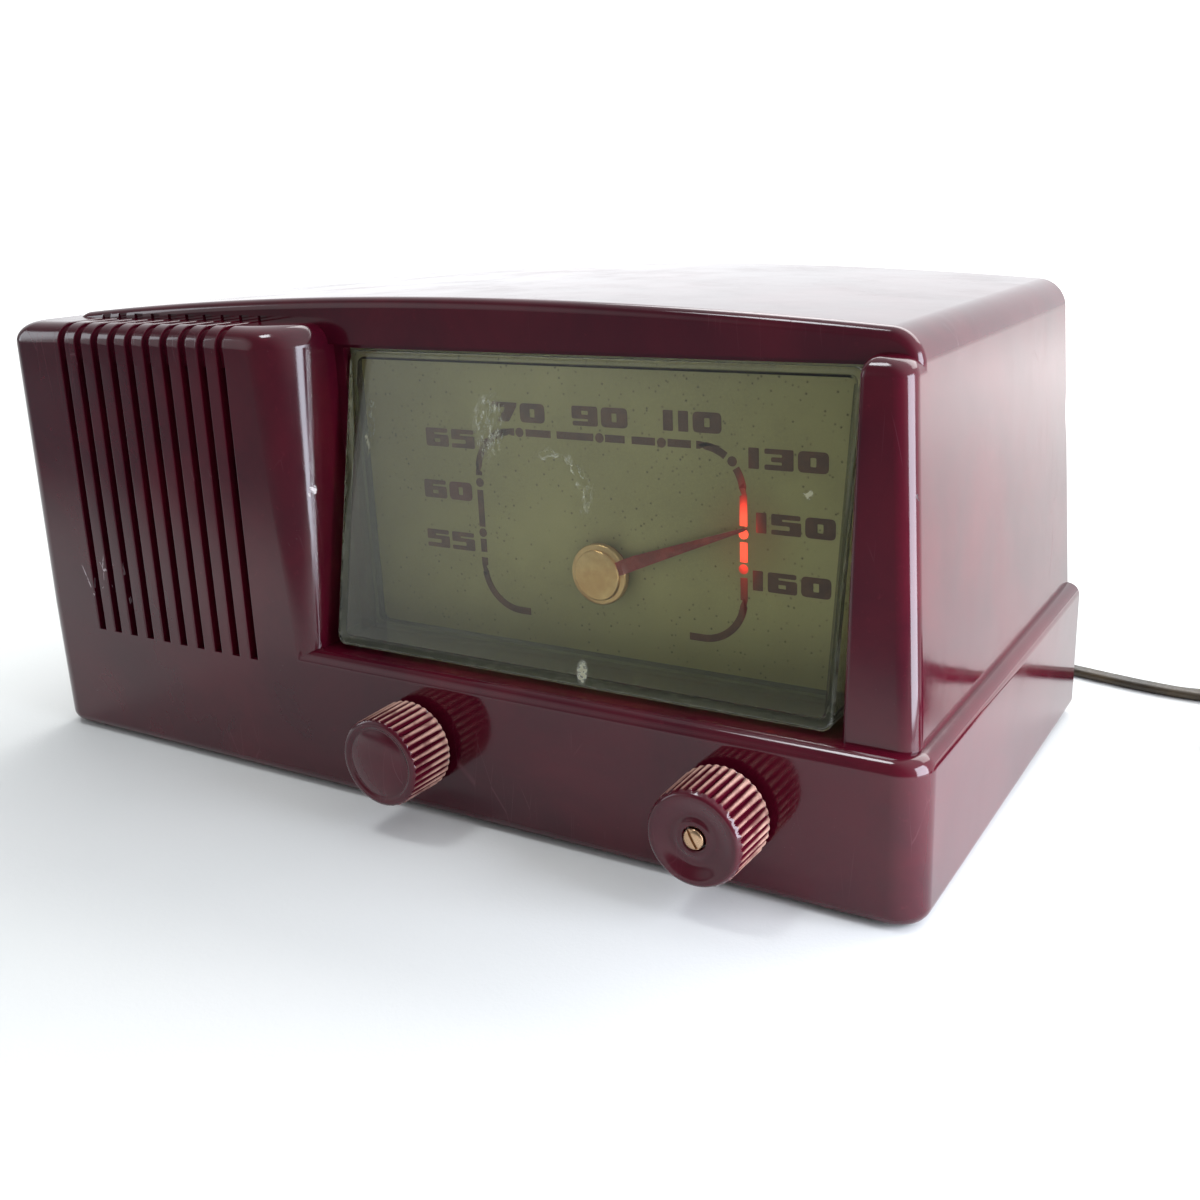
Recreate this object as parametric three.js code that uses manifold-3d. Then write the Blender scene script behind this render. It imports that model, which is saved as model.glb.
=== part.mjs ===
// A moulded bakelite table radio with its chassis, dial drive, loudspeaker and mains lead.
// Millimetres. +Z is up, the front panel faces -Y and +X is to the right of someone facing it.
// The origin is on the table, under the middle of the radio without its lead. The pieces are drawn
// a little left of and below there, and moved into place by PLACED.

import * as THREE from 'three';
import Module from 'manifold-3d';
import { mergeVertices } from 'three/addons/utils/BufferGeometryUtils.js';

const wasm = await Module();
wasm.setup();

// ---- driving dimensions -------------------------------------------------------------------

const GAP = 0.3; // clearance between pieces that touch on the real radio
const FRONT = -69; // y of the front panel at the height of the ledge
const DEPTH = 157; // cabinet, front panel to back edge
const CENTRE_X = -4.3; // middle of the cabinet
const HALF_WIDTH = 154.3;
const LEFT = CENTRE_X - HALF_WIDTH;
const RIGHT = CENTRE_X + HALF_WIDTH;
const TABLE_Z = -5.2;
const RIM_Z = -4.5; // lower edge of the rim round the cabinet's underside
const FLOOR_Z = 1.2; // underside of the cabinet's floor, inside the rim
const PLACED = [-CENTRE_X, 0, -TABLE_Z];
const LEDGE_Z = 39; // top of the full-width base
const EDGE_RADIUS = 4; // rounding along the base's edges
const CORNER_RADIUS = 8.6; // rounding of the base's upright corners
const WALL = 3.5;

const SIDE_AT_LEDGE = 150.4; // half-width of the upper body where it leaves the ledge
const SIDE_DRAFT = 0.07; // how much the upper body's sides lean in per millimetre of height
const CROWN_Z = 140.3; // top of the cabinet at its middle
const CROWN_DROP = 6.2; // fall of the top from the middle to CROWN_REACH on either side
const CROWN_REACH = 144.3;
const HOOD_DEPTH = 20; // front of the hood, measured back from the front panel
const HOOD_UNDERSIDE = 127;

const SHELF_Z = 133.2; // top of the speaker column
const COLUMN_RIGHT = -35.6;
const PANEL_LEAN = 0.017; // the column's front leans back this much per millimetre of height
const SLOT_COUNT = 10;
const SLOT_FIRST_X = -130.2;
const SLOT_PITCH = 7.75;
const SLOT_WIDTH = 3;
const SLOT_BOTTOM = 33;

const POST_LEFT = 127.5;
const LENS = {
  left: -31.3,
  right: 125,
  bottom: 40.4,
  top: 124.9,
  front: 6,
  lean: 0.212,
  wall: 2.2,
};
const LENS_BACK = 27.4; // distance of the lens's open back from the front panel
const PLATE = { left: -37, right: 131, bottom: 36.5, top: 127.6, front: 27.8, thick: 0.8 };

const DIAL_AXIS = { x: 51.7, z: 67 };
const POINTER = { angle: 20.9, length: 45.9, front: 25.1, thick: 0.5 };
const DRUM_RADIUS = 22; // floor of the drum's groove
const SPINDLE_RADIUS = 2.75; // floor of the groove on the tuning shaft
const CORD_PLANE = 39; // the dial cord's distance from the front panel
const DIAL_CORD = 1.2;

const KNOB_Z = 18;
const VOLUME_X = 2.6;
const TUNING_X = 100;
const KNOB = { front: -19, back: -2.6, radius: 13.2, faceRadius: 12.2, flutes: 36 };
const SHAFT_RADIUS = 3;

const CHASSIS = {
  left: -140,
  right: 141,
  frontY: 46,
  leftFrontY: 72,
  backY: 138,
  deck: 43.2,
  sheet: 1.2,
  foot: 5.2,
};
const SPEAKER = { x: -95, z: 80, rim: 47.5, front: 9.2 };
const COVER = { front: 152.4, thick: 2, margin: 0.5 };

const LEAD_DIAMETER = 5.6;
const LEAD_X = 100;
const LEAD_Z = 22;
const RELIEF_END = 176; // outer end of the strain relief, measured back from the front panel
const COIL = { x: 238, y: 81, radius: 32, halfBand: 8.7, bottom: -3.6, top: 13.4 };

// ---- shape helpers ------------------------------------------------------------------------

// y in the model frame of a point that lies so far behind the front panel
const behind = (distance) => FRONT + distance;

function solid(geometry) {
  const plain = geometry.clone();
  plain.deleteAttribute('normal');
  plain.deleteAttribute('uv');
  const merged = mergeVertices(plain, 1e-4);
  const mesh = new wasm.Mesh({
    numProp: 3,
    vertProperties: new Float32Array(merged.attributes.position.array),
    triVerts: new Uint32Array(merged.index.array),
  });
  return new wasm.Manifold(mesh);
}

function geometryOf(body) {
  const mesh = body.getMesh();
  const geometry = new THREE.BufferGeometry();
  geometry.setAttribute('position', new THREE.BufferAttribute(mesh.vertProperties, 3));
  geometry.setIndex(new THREE.BufferAttribute(mesh.triVerts, 1));
  geometry.computeVertexNormals();
  return geometry;
}

const join = (first, ...others) => others.reduce((whole, other) => whole.add(other), first);
const cut = (first, ...others) => others.reduce((whole, other) => whole.subtract(other), first);

function box(x0, x1, y0, y1, z0, z1) {
  const geometry = new THREE.BoxGeometry(x1 - x0, y1 - y0, z1 - z0);
  geometry.translate((x0 + x1) / 2, (y0 + y1) / 2, (z0 + z1) / 2);
  return solid(geometry);
}

// A closed outline drawn in (x, y), (x, z) or (y, z) and pushed along z, y or x.
function prism(axis, outline, from, to, options = {}) {
  const geometry = new THREE.ExtrudeGeometry(outline, {
    depth: to - from,
    bevelEnabled: false,
    curveSegments: 4,
    ...options,
  });
  if (axis === 'z') {
    geometry.translate(0, 0, from);
  } else if (axis === 'y') {
    geometry.rotateX(Math.PI / 2);
    geometry.translate(0, to, 0);
  } else {
    const turn = new THREE.Matrix4().makeBasis(
      new THREE.Vector3(0, 1, 0),
      new THREE.Vector3(0, 0, 1),
      new THREE.Vector3(1, 0, 0),
    );
    geometry.applyMatrix4(turn);
    geometry.translate(from, 0, 0);
  }
  return solid(geometry);
}

function outlineOf(points) {
  return new THREE.Shape(points.map(([u, v]) => new THREE.Vector2(u, v)));
}

function roundedRectangle(u0, u1, v0, v1, radius) {
  const shape = new THREE.Shape();
  shape.moveTo(u0 + radius, v0);
  shape.absarc(u1 - radius, v0 + radius, radius, -Math.PI / 2, 0, false);
  shape.absarc(u1 - radius, v1 - radius, radius, 0, Math.PI / 2, false);
  shape.absarc(u0 + radius, v1 - radius, radius, Math.PI / 2, Math.PI, false);
  shape.absarc(u0 + radius, v0 + radius, radius, Math.PI, 1.5 * Math.PI, false);
  return shape;
}

// A turned piece about an axis through (x, z) parallel to Y. The profile lists (radius, y).
function turnedAlongY(x, z, profile, sides = 20) {
  const geometry = new THREE.LatheGeometry(profile.map(([r, y]) => new THREE.Vector2(r, y)), sides);
  geometry.translate(x, 0, z);
  return solid(geometry);
}

// A turned piece about an upright axis through (x, y). The profile lists (radius, z).
function turnedAlongZ(x, y, profile, sides = 14) {
  const geometry = new THREE.LatheGeometry(profile.map(([r, z]) => new THREE.Vector2(r, z)), sides);
  geometry.rotateX(Math.PI / 2);
  geometry.translate(x, y, 0);
  return solid(geometry);
}

const rodAlongY = (x, z, radius, y0, y1, sides = 20) =>
  turnedAlongY(x, z, [[0, y0], [radius, y0], [radius, y1], [0, y1]], sides);

const rodAlongZ = (x, y, radius, z0, z1, sides = 14) =>
  turnedAlongZ(x, y, [[0, z0], [radius, z0], [radius, z1], [0, z1]], sides);

// A solid through level sections with equally many points, listed from the lowest up.
function loft(sections) {
  const count = sections[0].points.length;
  const positions = sections.flatMap(({ z, points }) => points.flatMap(([x, y]) => [x, y, z]));
  const index = [];
  for (let level = 0; level + 1 < sections.length; level += 1) {
    for (let i = 0; i < count; i += 1) {
      const a = level * count + i;
      const b = level * count + ((i + 1) % count);
      index.push(a, b, b + count, a, b + count, a + count);
    }
  }
  const capPoints = (section) => section.points.map(([x, y]) => new THREE.Vector2(x, y));
  const top = (sections.length - 1) * count;
  for (const [a, b, c] of THREE.ShapeUtils.triangulateShape(capPoints(sections[0]), [])) {
    index.push(a, c, b);
  }
  for (const [a, b, c] of THREE.ShapeUtils.triangulateShape(capPoints(sections.at(-1)), [])) {
    index.push(top + a, top + b, top + c);
  }
  const geometry = new THREE.BufferGeometry();
  geometry.setAttribute('position', new THREE.Float32BufferAttribute(positions, 3));
  geometry.setIndex(index);
  return solid(geometry);
}

// Points of a quarter ellipse about (x, y), from one angle to another.
function arcPoints(x, y, radiusX, radiusY, from, to, steps) {
  const points = [];
  for (let i = 0; i <= steps; i += 1) {
    const angle = from + ((to - from) * i) / steps;
    points.push([x + radiusX * Math.cos(angle), y + radiusY * Math.sin(angle)]);
  }
  return points;
}

// ---- finishes -----------------------------------------------------------------------------

const finish = (color, roughness, metalness = 0, extra = {}) =>
  new THREE.MeshStandardMaterial({ color, roughness, metalness, ...extra });

const FINISHES = {
  bakelite: finish(0x4a1822, 0.15),
  acrylic: finish(0xaab8a4, 0.05, 0, { transparent: true, opacity: 0.3 }),
  dialPaint: finish(0x77704a, 0.5, 0.3),
  redCelluloid: finish(0xa02018, 0.3),
  brass: finish(0x9c8a58, 0.3, 1),
  steel: finish(0x9a9a96, 0.35, 1),
  aluminium: finish(0xb9bcc0, 0.35, 1),
  fibreboard: finish(0x4b3626, 0.85),
  grilleCloth: finish(0x2b1d18, 0.95),
  conePaper: finish(0x2a2522, 0.9),
  castIron: finish(0x3c3f42, 0.6, 0.6),
  tubeGlass: finish(0xc9cdca, 0.05, 0, { transparent: true, opacity: 0.4 }),
  phenolic: finish(0x5a3a20, 0.6),
  rubber: finish(0x1c1a18, 0.8),
  leadRubber: finish(0x3b3226, 0.55),
  copper: finish(0x8a4a2a, 0.4, 0.8),
  dialCordFibre: finish(0xc8bd98, 0.9),
};

const radio = new THREE.Group();

function add(name, material, body) {
  const mesh = new THREE.Mesh(geometryOf(body.translate(PLACED)), FINISHES[material]);
  mesh.name = name;
  radio.add(mesh);
}

// ---- cabinet ------------------------------------------------------------------------------

const sideAt = (z) => SIDE_AT_LEDGE - SIDE_DRAFT * (z - LEDGE_Z);
const crownAt = (reach) => CROWN_Z - CROWN_DROP * (reach / CROWN_REACH) ** 2;

// The upper body seen from the front: leaning sides, round shoulders and a crowned top.
// sideAt and crownAt measure from the cabinet's middle.
function bodyOutline(inset, bottom) {
  const shoulder = 9 - inset;
  const shoulderX = sideAt(LEDGE_Z + 90) - inset - shoulder;
  const shoulderZ = crownAt(shoulderX) - inset - shoulder;
  const side = sideAt(shoulderZ) - inset;
  const crownSide = crownAt(side) - inset;
  const shape = new THREE.Shape();
  shape.moveTo(CENTRE_X - (sideAt(bottom) - inset), bottom);
  shape.lineTo(CENTRE_X + sideAt(bottom) - inset, bottom);
  shape.lineTo(CENTRE_X + side, shoulderZ);
  shape.quadraticCurveTo(CENTRE_X + side - 0.5, crownSide, CENTRE_X + shoulderX, crownAt(shoulderX) - inset);
  const crownSteps = 10;
  for (let i = 1; i < crownSteps; i += 1) {
    const reach = shoulderX * (1 - (2 * i) / crownSteps);
    shape.lineTo(CENTRE_X + reach, crownAt(reach) - inset);
  }
  shape.lineTo(CENTRE_X - shoulderX, crownAt(shoulderX) - inset);
  shape.quadraticCurveTo(CENTRE_X - side + 0.5, crownSide, CENTRE_X - side, shoulderZ);
  return shape;
}

function baseBlock() {
  const plan = roundedRectangle(
    LEFT + EDGE_RADIUS,
    RIGHT - EDGE_RADIUS,
    FRONT + EDGE_RADIUS,
    behind(DEPTH) + 3 * EDGE_RADIUS,
    CORNER_RADIUS - EDGE_RADIUS,
  );
  const block = prism('z', plan, RIM_Z + EDGE_RADIUS, LEDGE_Z - EDGE_RADIUS, {
    bevelEnabled: true,
    bevelThickness: EDGE_RADIUS,
    bevelSize: EDGE_RADIUS,
    bevelSegments: 3,
  });
  const inside = roundedRectangle(LEFT + 5, RIGHT - 5, behind(5), behind(DEPTH - 5), 4);
  return cut(
    block,
    box(-200, 200, behind(DEPTH), behind(DEPTH) + 40, -10, 200),
    prism('z', inside, -10, FLOOR_Z),
  );
}

function upperBody() {
  const frontRounding = 3;
  const hood = prism('y', bodyOutline(frontRounding, 30), behind(HOOD_DEPTH) + frontRounding, 140, {
    bevelEnabled: true,
    bevelThickness: frontRounding,
    bevelSize: frontRounding,
    bevelSegments: 2,
  });
  return cut(hood, box(-200, 200, behind(DEPTH), 200, -10, 200), box(-200, 200, -200, 200, -10, 30));
}

// One level of the speaker column, whose right-hand edge rounds more the higher it is.
function columnLevel(z, inset, depth = HOOD_DEPTH + 6) {
  const rise = Math.max(0, z - LEDGE_Z) / (SHELF_Z - LEDGE_Z);
  const front = FRONT + PANEL_LEAN * Math.max(0, z - LEDGE_Z) + inset;
  const left = LEFT + 1.6 * rise + inset;
  const right = COLUMN_RIGHT - inset;
  const corner = CORNER_RADIUS;
  const roundX = 7 + 8 * rise;
  const roundY = 6 + 11 * rise - inset;
  const back = behind(depth);
  return {
    z,
    points: [
      [left, back],
      ...arcPoints(left + corner, front + corner, corner, corner, Math.PI, 1.5 * Math.PI, 4),
      ...arcPoints(right - roundX, front + roundY, roundX, roundY, 1.5 * Math.PI, 2 * Math.PI, 6),
      [right, back],
    ],
  };
}

// The hollow of the column, which stops short of the upper body's front wall.
function columnHollow() {
  const levels = [FLOOR_Z + WALL, LEDGE_Z, SHELF_Z - WALL];
  return loft(levels.map((z) => columnLevel(z, WALL, HOOD_DEPTH + 2)));
}

function speakerColumn() {
  const levels = [[LEDGE_Z - EDGE_RADIUS - 0.2, 0], [LEDGE_Z, 0]];
  levels.push([SHELF_Z - 6.4, 0], [SHELF_Z - 3, 0.9], [SHELF_Z - 1.1, 2.6], [SHELF_Z, 6.4]);
  return loft(levels.map(([z, inset]) => columnLevel(z, inset)));
}

// One level of the post at the right of the dial, which leans back and has a domed top.
function postLevel(z, inset) {
  const radius = Math.max(1, 5 - inset);
  const front = behind(5.5 + 0.088 * (z - LEDGE_Z)) + inset;
  const right = CENTRE_X + sideAt(z) - inset;
  const left = POST_LEFT + inset * 0.6;
  const back = behind(HOOD_DEPTH + 6);
  return {
    z,
    points: [
      [left, back],
      ...arcPoints(left + 1, front + 1, 1, 1, Math.PI, 1.5 * Math.PI, 2),
      ...arcPoints(right - radius, front + radius, radius, radius, 1.5 * Math.PI, 2 * Math.PI, 4),
      [right, back],
    ],
  };
}

function post() {
  const top = HOOD_UNDERSIDE + 1.8;
  const levels = [[LEDGE_Z - 3, 0], [top - 5, 0], [top - 2.4, 0.8], [top - 0.8, 2.4], [top, 4.6]];
  return loft(levels.map(([z, inset]) => postLevel(z, inset)));
}

const slotX = (i) => SLOT_FIRST_X + SLOT_PITCH * i;

// Slots through the column's front wall that run on as shallow grooves over its top.
function louvres() {
  const slotTop = 121;
  const frontHigh = behind(PANEL_LEAN * (SHELF_Z - LEDGE_Z));
  const cuts = [];
  for (let i = 0; i < SLOT_COUNT; i += 1) {
    const left = slotX(i) - SLOT_WIDTH / 2;
    const right = left + SLOT_WIDTH;
    cuts.push(box(left, right, behind(-2), behind(7), SLOT_BOTTOM, slotTop));
    cuts.push(box(left, right, behind(-2), behind(HOOD_DEPTH - 0.4), SHELF_Z - 1.6, SHELF_Z + 4));
    cuts.push(box(left, right, behind(-2), frontHigh + 1.9, slotTop - 1, SHELF_Z + 4));
  }
  return cuts;
}

const COVER_SCREWS = [[-142.6, 13], [134, 13], [-138.6, 116], [130, 116]];
const FEET = [[-133.6, -50], [125, -50], [-133.6, 70], [125, 70]];
const CHASSIS_SCREWS = [[-60, 40], [90, 40]];

function cabinet() {
  const inner = behind(DEPTH) + 1;
  const floor = FLOOR_Z + WALL;
  let shell = join(baseBlock(), upperBody(), speakerColumn(), post());
  shell = cut(
    shell,
    box(LEFT + WALL, RIGHT - WALL, behind(WALL), inner, floor, LEDGE_Z - WALL),
    prism('y', bodyOutline(WALL, LEDGE_Z - WALL - 1), behind(25.5), inner),
    columnHollow(),
    rodAlongY(SPEAKER.x, SPEAKER.z, 45, behind(HOOD_DEPTH), behind(30), 32),
    box(POST_LEFT + 4, POST_LEFT + 12, behind(14), behind(30), LEDGE_Z + 3, HOOD_UNDERSIDE - 6),
    box(COLUMN_RIGHT, POST_LEFT, behind(-5), behind(22.5), LEDGE_Z, HOOD_UNDERSIDE),
    box(LENS.left - 0.9, LENS.right + 0.9, behind(-5), behind(30), LENS.bottom - 0.8, LENS.top + 0.9),
    rodAlongY(VOLUME_X, KNOB_Z, 5, behind(-2), behind(8)),
    rodAlongY(TUNING_X, KNOB_Z, 5, behind(-2), behind(8)),
    ...louvres(),
  );
  for (const [x, z] of COVER_SCREWS) {
    const reach = HALF_WIDTH - Math.abs(x - CENTRE_X) + 8;
    const lug = box(x - reach, x + reach, behind(139), behind(COVER.front - GAP), z - 5, z + 5);
    const within = join(
      box(LEFT + 1, RIGHT - 1, -100, 100, 10, LEDGE_Z - 2),
      prism('y', bodyOutline(1.5, LEDGE_Z - 3), -100, 100),
    );
    const outward = x > 0 ? box(x - 5, 200, -100, 100, 0, 200) : box(-200, x + 5, -100, 100, 0, 200);
    shell = shell.add(lug.intersect(within).intersect(outward));
    shell = shell.subtract(rodAlongY(x, z, 1.9, behind(138), behind(DEPTH), 12));
  }
  for (const [x, y] of FEET) {
    shell = shell.subtract(rodAlongZ(x, y, 6.3, FLOOR_Z - 2, FLOOR_Z + 1));
  }
  for (const [x, y] of CHASSIS_SCREWS) {
    shell = shell.subtract(rodAlongZ(x, y, 2.3, 0, 10, 12));
  }
  for (let i = 0; i < 6; i += 1) {
    const x = -50 + 20 * i;
    shell = shell.subtract(box(x - 2.2, x + 2.2, -20, 20, 0, 10));
  }
  return shell;
}

function rearCover() {
  const front = behind(COVER.front);
  const back = front + COVER.thick;
  const edge = WALL + COVER.margin;
  const low = box(LEFT + edge, RIGHT - edge, front, back, FLOOR_Z + edge, LEDGE_Z - edge);
  let board = join(low, prism('y', bodyOutline(edge, LEDGE_Z - edge - 1), front, back));
  for (let row = 0; row < 2; row += 1) {
    for (let i = 0; i < 9; i += 1) {
      const x = -96 + 24 * i;
      const z = row === 0 ? 20 : 100;
      if (row === 1 || Math.abs(x - LEAD_X) > 20) {
        board = board.subtract(box(x - 2, x + 2, front - 1, back + 1, z - 9, z + 9));
      }
    }
  }
  board = board.subtract(rodAlongY(LEAD_X, LEAD_Z, 6.3, front - 1, back + 1));
  for (const [x, z] of COVER_SCREWS) {
    board = board.subtract(rodAlongY(x, z, 2.1, front - 1, back + 1, 12));
  }
  return board;
}

add('cabinet_shell', 'bakelite', cabinet());
add('rear_cover', 'fibreboard', rearCover());

COVER_SCREWS.forEach(([x, z], i) => {
  const seat = behind(COVER.front + COVER.thick) + GAP;
  const profile = [[0, seat - 12], [1.6, seat - 12], [1.6, seat], [3.6, seat], [2.8, seat + 1.6], [0, seat + 2]];
  add(`cover_screw_${i + 1}`, 'steel', turnedAlongY(x, z, profile, 10));
});

FEET.forEach(([x, y], i) => {
  const top = FLOOR_Z + 1 - GAP;
  const profile = [[0, TABLE_Z], [5.4, TABLE_Z], [6, TABLE_Z + 0.6], [6, top], [0, top]];
  add(`foot_${i + 1}`, 'rubber', turnedAlongZ(x, y, profile));
});

CHASSIS_SCREWS.forEach(([x, y], i) => {
  const seat = FLOOR_Z - GAP;
  const profile = [[0, 0.1], [3.4, 0.1], [3.8, seat], [1.9, seat], [1.9, 11], [0, 11]];
  add(`chassis_screw_${i + 1}`, 'steel', turnedAlongZ(x, y, profile, 10));
});

// ---- dial: lens, plate, backing, lamp -----------------------------------------------------

// The lens seen from the side: its front leans back and its back is upright.
function lensSide(inset, back) {
  const frontAt = (z) => behind(LENS.front + LENS.lean * (z - LENS.bottom)) + inset;
  const low = LENS.bottom + inset;
  const high = LENS.top - inset;
  return outlineOf([[back, low], [back, high], [frontAt(high), high], [frontAt(low), low]].reverse());
}

function dialLens() {
  const back = behind(LENS_BACK);
  const outside = prism('x', lensSide(0, back), LENS.left, LENS.right);
  const flange = box(LENS.left - 3.4, LENS.right + 3.4, behind(25.9), back, LENS.bottom - 3, LENS.top + 3);
  const hollow = prism('x', lensSide(LENS.wall, back + 5), LENS.left + LENS.wall, LENS.right - LENS.wall);
  return cut(join(outside, flange), hollow);
}

function dialPlate() {
  const front = behind(PLATE.front);
  const sheet = box(PLATE.left, PLATE.right, front, front + PLATE.thick, PLATE.bottom, PLATE.top);
  return sheet.subtract(rodAlongY(DIAL_AXIS.x, DIAL_AXIS.z, 5, front - 1, front + 3));
}

function dialBacking() {
  const front = behind(PLATE.front + PLATE.thick) + GAP;
  const sheet = box(PLATE.left + 4, PLATE.right - 4, front, front + 0.6, PLATE.bottom + 4, PLATE.top - 3);
  return sheet.subtract(rodAlongY(DIAL_AXIS.x, DIAL_AXIS.z, 5, front - 1, front + 3));
}

const LAMP = { x: 97, z: 80 };

function lampSocket() {
  const foot = CHASSIS.deck + GAP;
  const strip = box(LAMP.x - 5, LAMP.x + 5, behind(46.6), behind(47.6), foot, LAMP.z + 7);
  const base = box(LAMP.x - 5, LAMP.x + 5, behind(46.6), behind(58), foot, foot + 1);
  const cup = rodAlongY(LAMP.x, LAMP.z, 5.4, behind(40), behind(47), 18);
  const mouth = rodAlongY(LAMP.x, LAMP.z, 4.6, behind(38), behind(45), 18);
  return join(strip, base, cup).subtract(mouth);
}

function dialLamp() {
  const profile = [[0, behind(32)], [2.6, behind(32.6)], [4.4, behind(35)], [4.2, behind(38.5)]];
  profile.push([3.9, behind(40)], [4.2, behind(40.5)], [4.2, behind(44.6)], [0, behind(44.6)]);
  return turnedAlongY(LAMP.x, LAMP.z, profile, 16);
}

add('dial_lens', 'acrylic', dialLens());
add('dial_plate', 'dialPaint', dialPlate());
add('dial_backing', 'redCelluloid', dialBacking());
add('lamp_socket', 'brass', lampSocket());
add('dial_lamp', 'tubeGlass', dialLamp());

// ---- dial drive ---------------------------------------------------------------------------

const GANG = { halfWidth: 21, front: 50, back: 86, plateRadius: 17, pitch: 4.4, plates: 5 };

// A half disc of the tuning capacitor, drawn in (x, z) about the dial axis.
function halfDisc(radius, from, hub) {
  const shape = new THREE.Shape();
  const start = THREE.MathUtils.degToRad(from);
  shape.absarc(DIAL_AXIS.x, DIAL_AXIS.z, radius, start, start + Math.PI, false);
  shape.absarc(DIAL_AXIS.x, DIAL_AXIS.z, hub, start + Math.PI, start, true);
  return shape;
}

function gangFrame() {
  const left = DIAL_AXIS.x - GANG.halfWidth;
  const right = DIAL_AXIS.x + GANG.halfWidth;
  const foot = CHASSIS.deck + GAP;
  const top = DIAL_AXIS.z + 20;
  const bore = rodAlongY(DIAL_AXIS.x, DIAL_AXIS.z, SHAFT_RADIUS + 0.4, -100, 100);
  return cut(
    join(
      box(left, right, behind(GANG.front), behind(GANG.front + 1.6), foot, top),
      box(left, right, behind(GANG.back - 1.6), behind(GANG.back), foot, top),
      box(left, right, behind(GANG.front), behind(GANG.back), foot, foot + 1.6),
      box(left, left + 3, behind(GANG.front), behind(GANG.back), top - 3, top),
      box(right - 3, right, behind(GANG.front), behind(GANG.back), top - 3, top),
    ),
    bore,
  );
}

const gangPlateY = (i) => behind(GANG.front + 7) + GANG.pitch * i;

function gangStator() {
  let stack = join(
    rodAlongY(DIAL_AXIS.x - 12, DIAL_AXIS.z - 20, 1.2, behind(GANG.front + 2), behind(GANG.back - 2), 8),
    rodAlongY(DIAL_AXIS.x + 12, DIAL_AXIS.z - 20, 1.2, behind(GANG.front + 2), behind(GANG.back - 2), 8),
  );
  for (let i = 0; i < GANG.plates; i += 1) {
    const y = gangPlateY(i) + GANG.pitch / 2;
    const outline = halfDisc(GANG.plateRadius + 2, 180, 5);
    const tab = box(DIAL_AXIS.x - 14, DIAL_AXIS.x + 14, y, y + 1, DIAL_AXIS.z - 21, DIAL_AXIS.z - 15);
    stack = join(stack, prism('y', outline, y, y + 1), tab);
  }
  return stack;
}

function gangRotor() {
  let rotor = rodAlongY(DIAL_AXIS.x, DIAL_AXIS.z, SHAFT_RADIUS, behind(26.9), behind(GANG.back + 3));
  for (let i = 0; i < GANG.plates; i += 1) {
    const y = gangPlateY(i);
    rotor = rotor.add(prism('y', halfDisc(GANG.plateRadius, POINTER.angle - 170, 2), y, y + 1));
  }
  return rotor;
}

function dialDrum() {
  const floor = DRUM_RADIUS;
  const flange = DRUM_RADIUS + 2;
  const front = behind(CORD_PLANE - 3);
  const back = behind(CORD_PLANE + 3);
  const groove = [behind(CORD_PLANE - 1.4), behind(CORD_PLANE + 1.4)];
  const bore = SHAFT_RADIUS + GAP;
  const rim = [[bore, front], [flange, front], [flange, groove[0]], [floor, groove[0]]];
  rim.push([floor, groove[1]], [flange, groove[1]], [flange, back], [bore, back], [bore, front]);
  let drum = turnedAlongY(DIAL_AXIS.x, DIAL_AXIS.z, rim, 32);
  for (let i = 0; i < 4; i += 1) {
    const angle = (Math.PI / 2) * i + Math.PI / 4;
    const x = DIAL_AXIS.x + 12 * Math.cos(angle);
    const z = DIAL_AXIS.z + 12 * Math.sin(angle);
    drum = drum.subtract(rodAlongY(x, z, 4.5, front - 1, back + 1, 10));
  }
  return drum;
}

// The endless cord that runs from the drum to the tuning shaft, with straight runs between them.
function dialCord() {
  const runs = (offset) => {
    const big = DRUM_RADIUS + GAP + offset;
    const small = SPINDLE_RADIUS + GAP + offset;
    const dx = TUNING_X - DIAL_AXIS.x;
    const dz = KNOB_Z - DIAL_AXIS.z;
    const along = Math.atan2(dz, dx);
    const wrap = Math.acos((big - small) / Math.hypot(dx, dz));
    const shape = new THREE.Shape();
    shape.absarc(TUNING_X, KNOB_Z, small, along - wrap, along + wrap, false);
    shape.absarc(DIAL_AXIS.x, DIAL_AXIS.z, big, along + wrap, along - wrap + 2 * Math.PI, false);
    return shape;
  };
  const y = behind(CORD_PLANE) - DIAL_CORD / 2;
  const settings = { curveSegments: 12 };
  const outer = prism('y', runs(DIAL_CORD), y, y + DIAL_CORD, settings);
  return outer.subtract(prism('y', runs(0.05), y - 1, y + DIAL_CORD + 1, settings));
}

function pointerHub() {
  const faceY = behind(21.5);
  const backY = behind(26.6);
  const profile = [[0, faceY], [6.6, faceY], [7, faceY + 0.4], [7, faceY + 1], [8.2, faceY + 1.2]];
  profile.push([8.5, faceY + 1.6], [8.5, behind(24.7)], [5.5, behind(24.7)], [5.5, backY], [0, backY]);
  return turnedAlongY(DIAL_AXIS.x, DIAL_AXIS.z, profile, 24);
}

// A thin tapering vane with a ring that fits over the hub's spigot.
function pointer() {
  const front = behind(POINTER.front);
  const back = front + POINTER.thick;
  const angle = THREE.MathUtils.degToRad(POINTER.angle);
  const place = (along, across) => [
    DIAL_AXIS.x + along * Math.cos(angle) - across * Math.sin(angle),
    DIAL_AXIS.z + along * Math.sin(angle) + across * Math.cos(angle),
  ];
  const vane = prism('y', outlineOf([
    place(6, -1.9), place(POINTER.length, -0.4), place(POINTER.length, 0.4), place(6, 1.9),
  ]), front, back);
  const ring = rodAlongY(DIAL_AXIS.x, DIAL_AXIS.z, 8, front, back, 24);
  const bore = rodAlongY(DIAL_AXIS.x, DIAL_AXIS.z, 5.5 + GAP, front - 1, back + 1, 20);
  return cut(join(vane, ring), bore);
}

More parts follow.
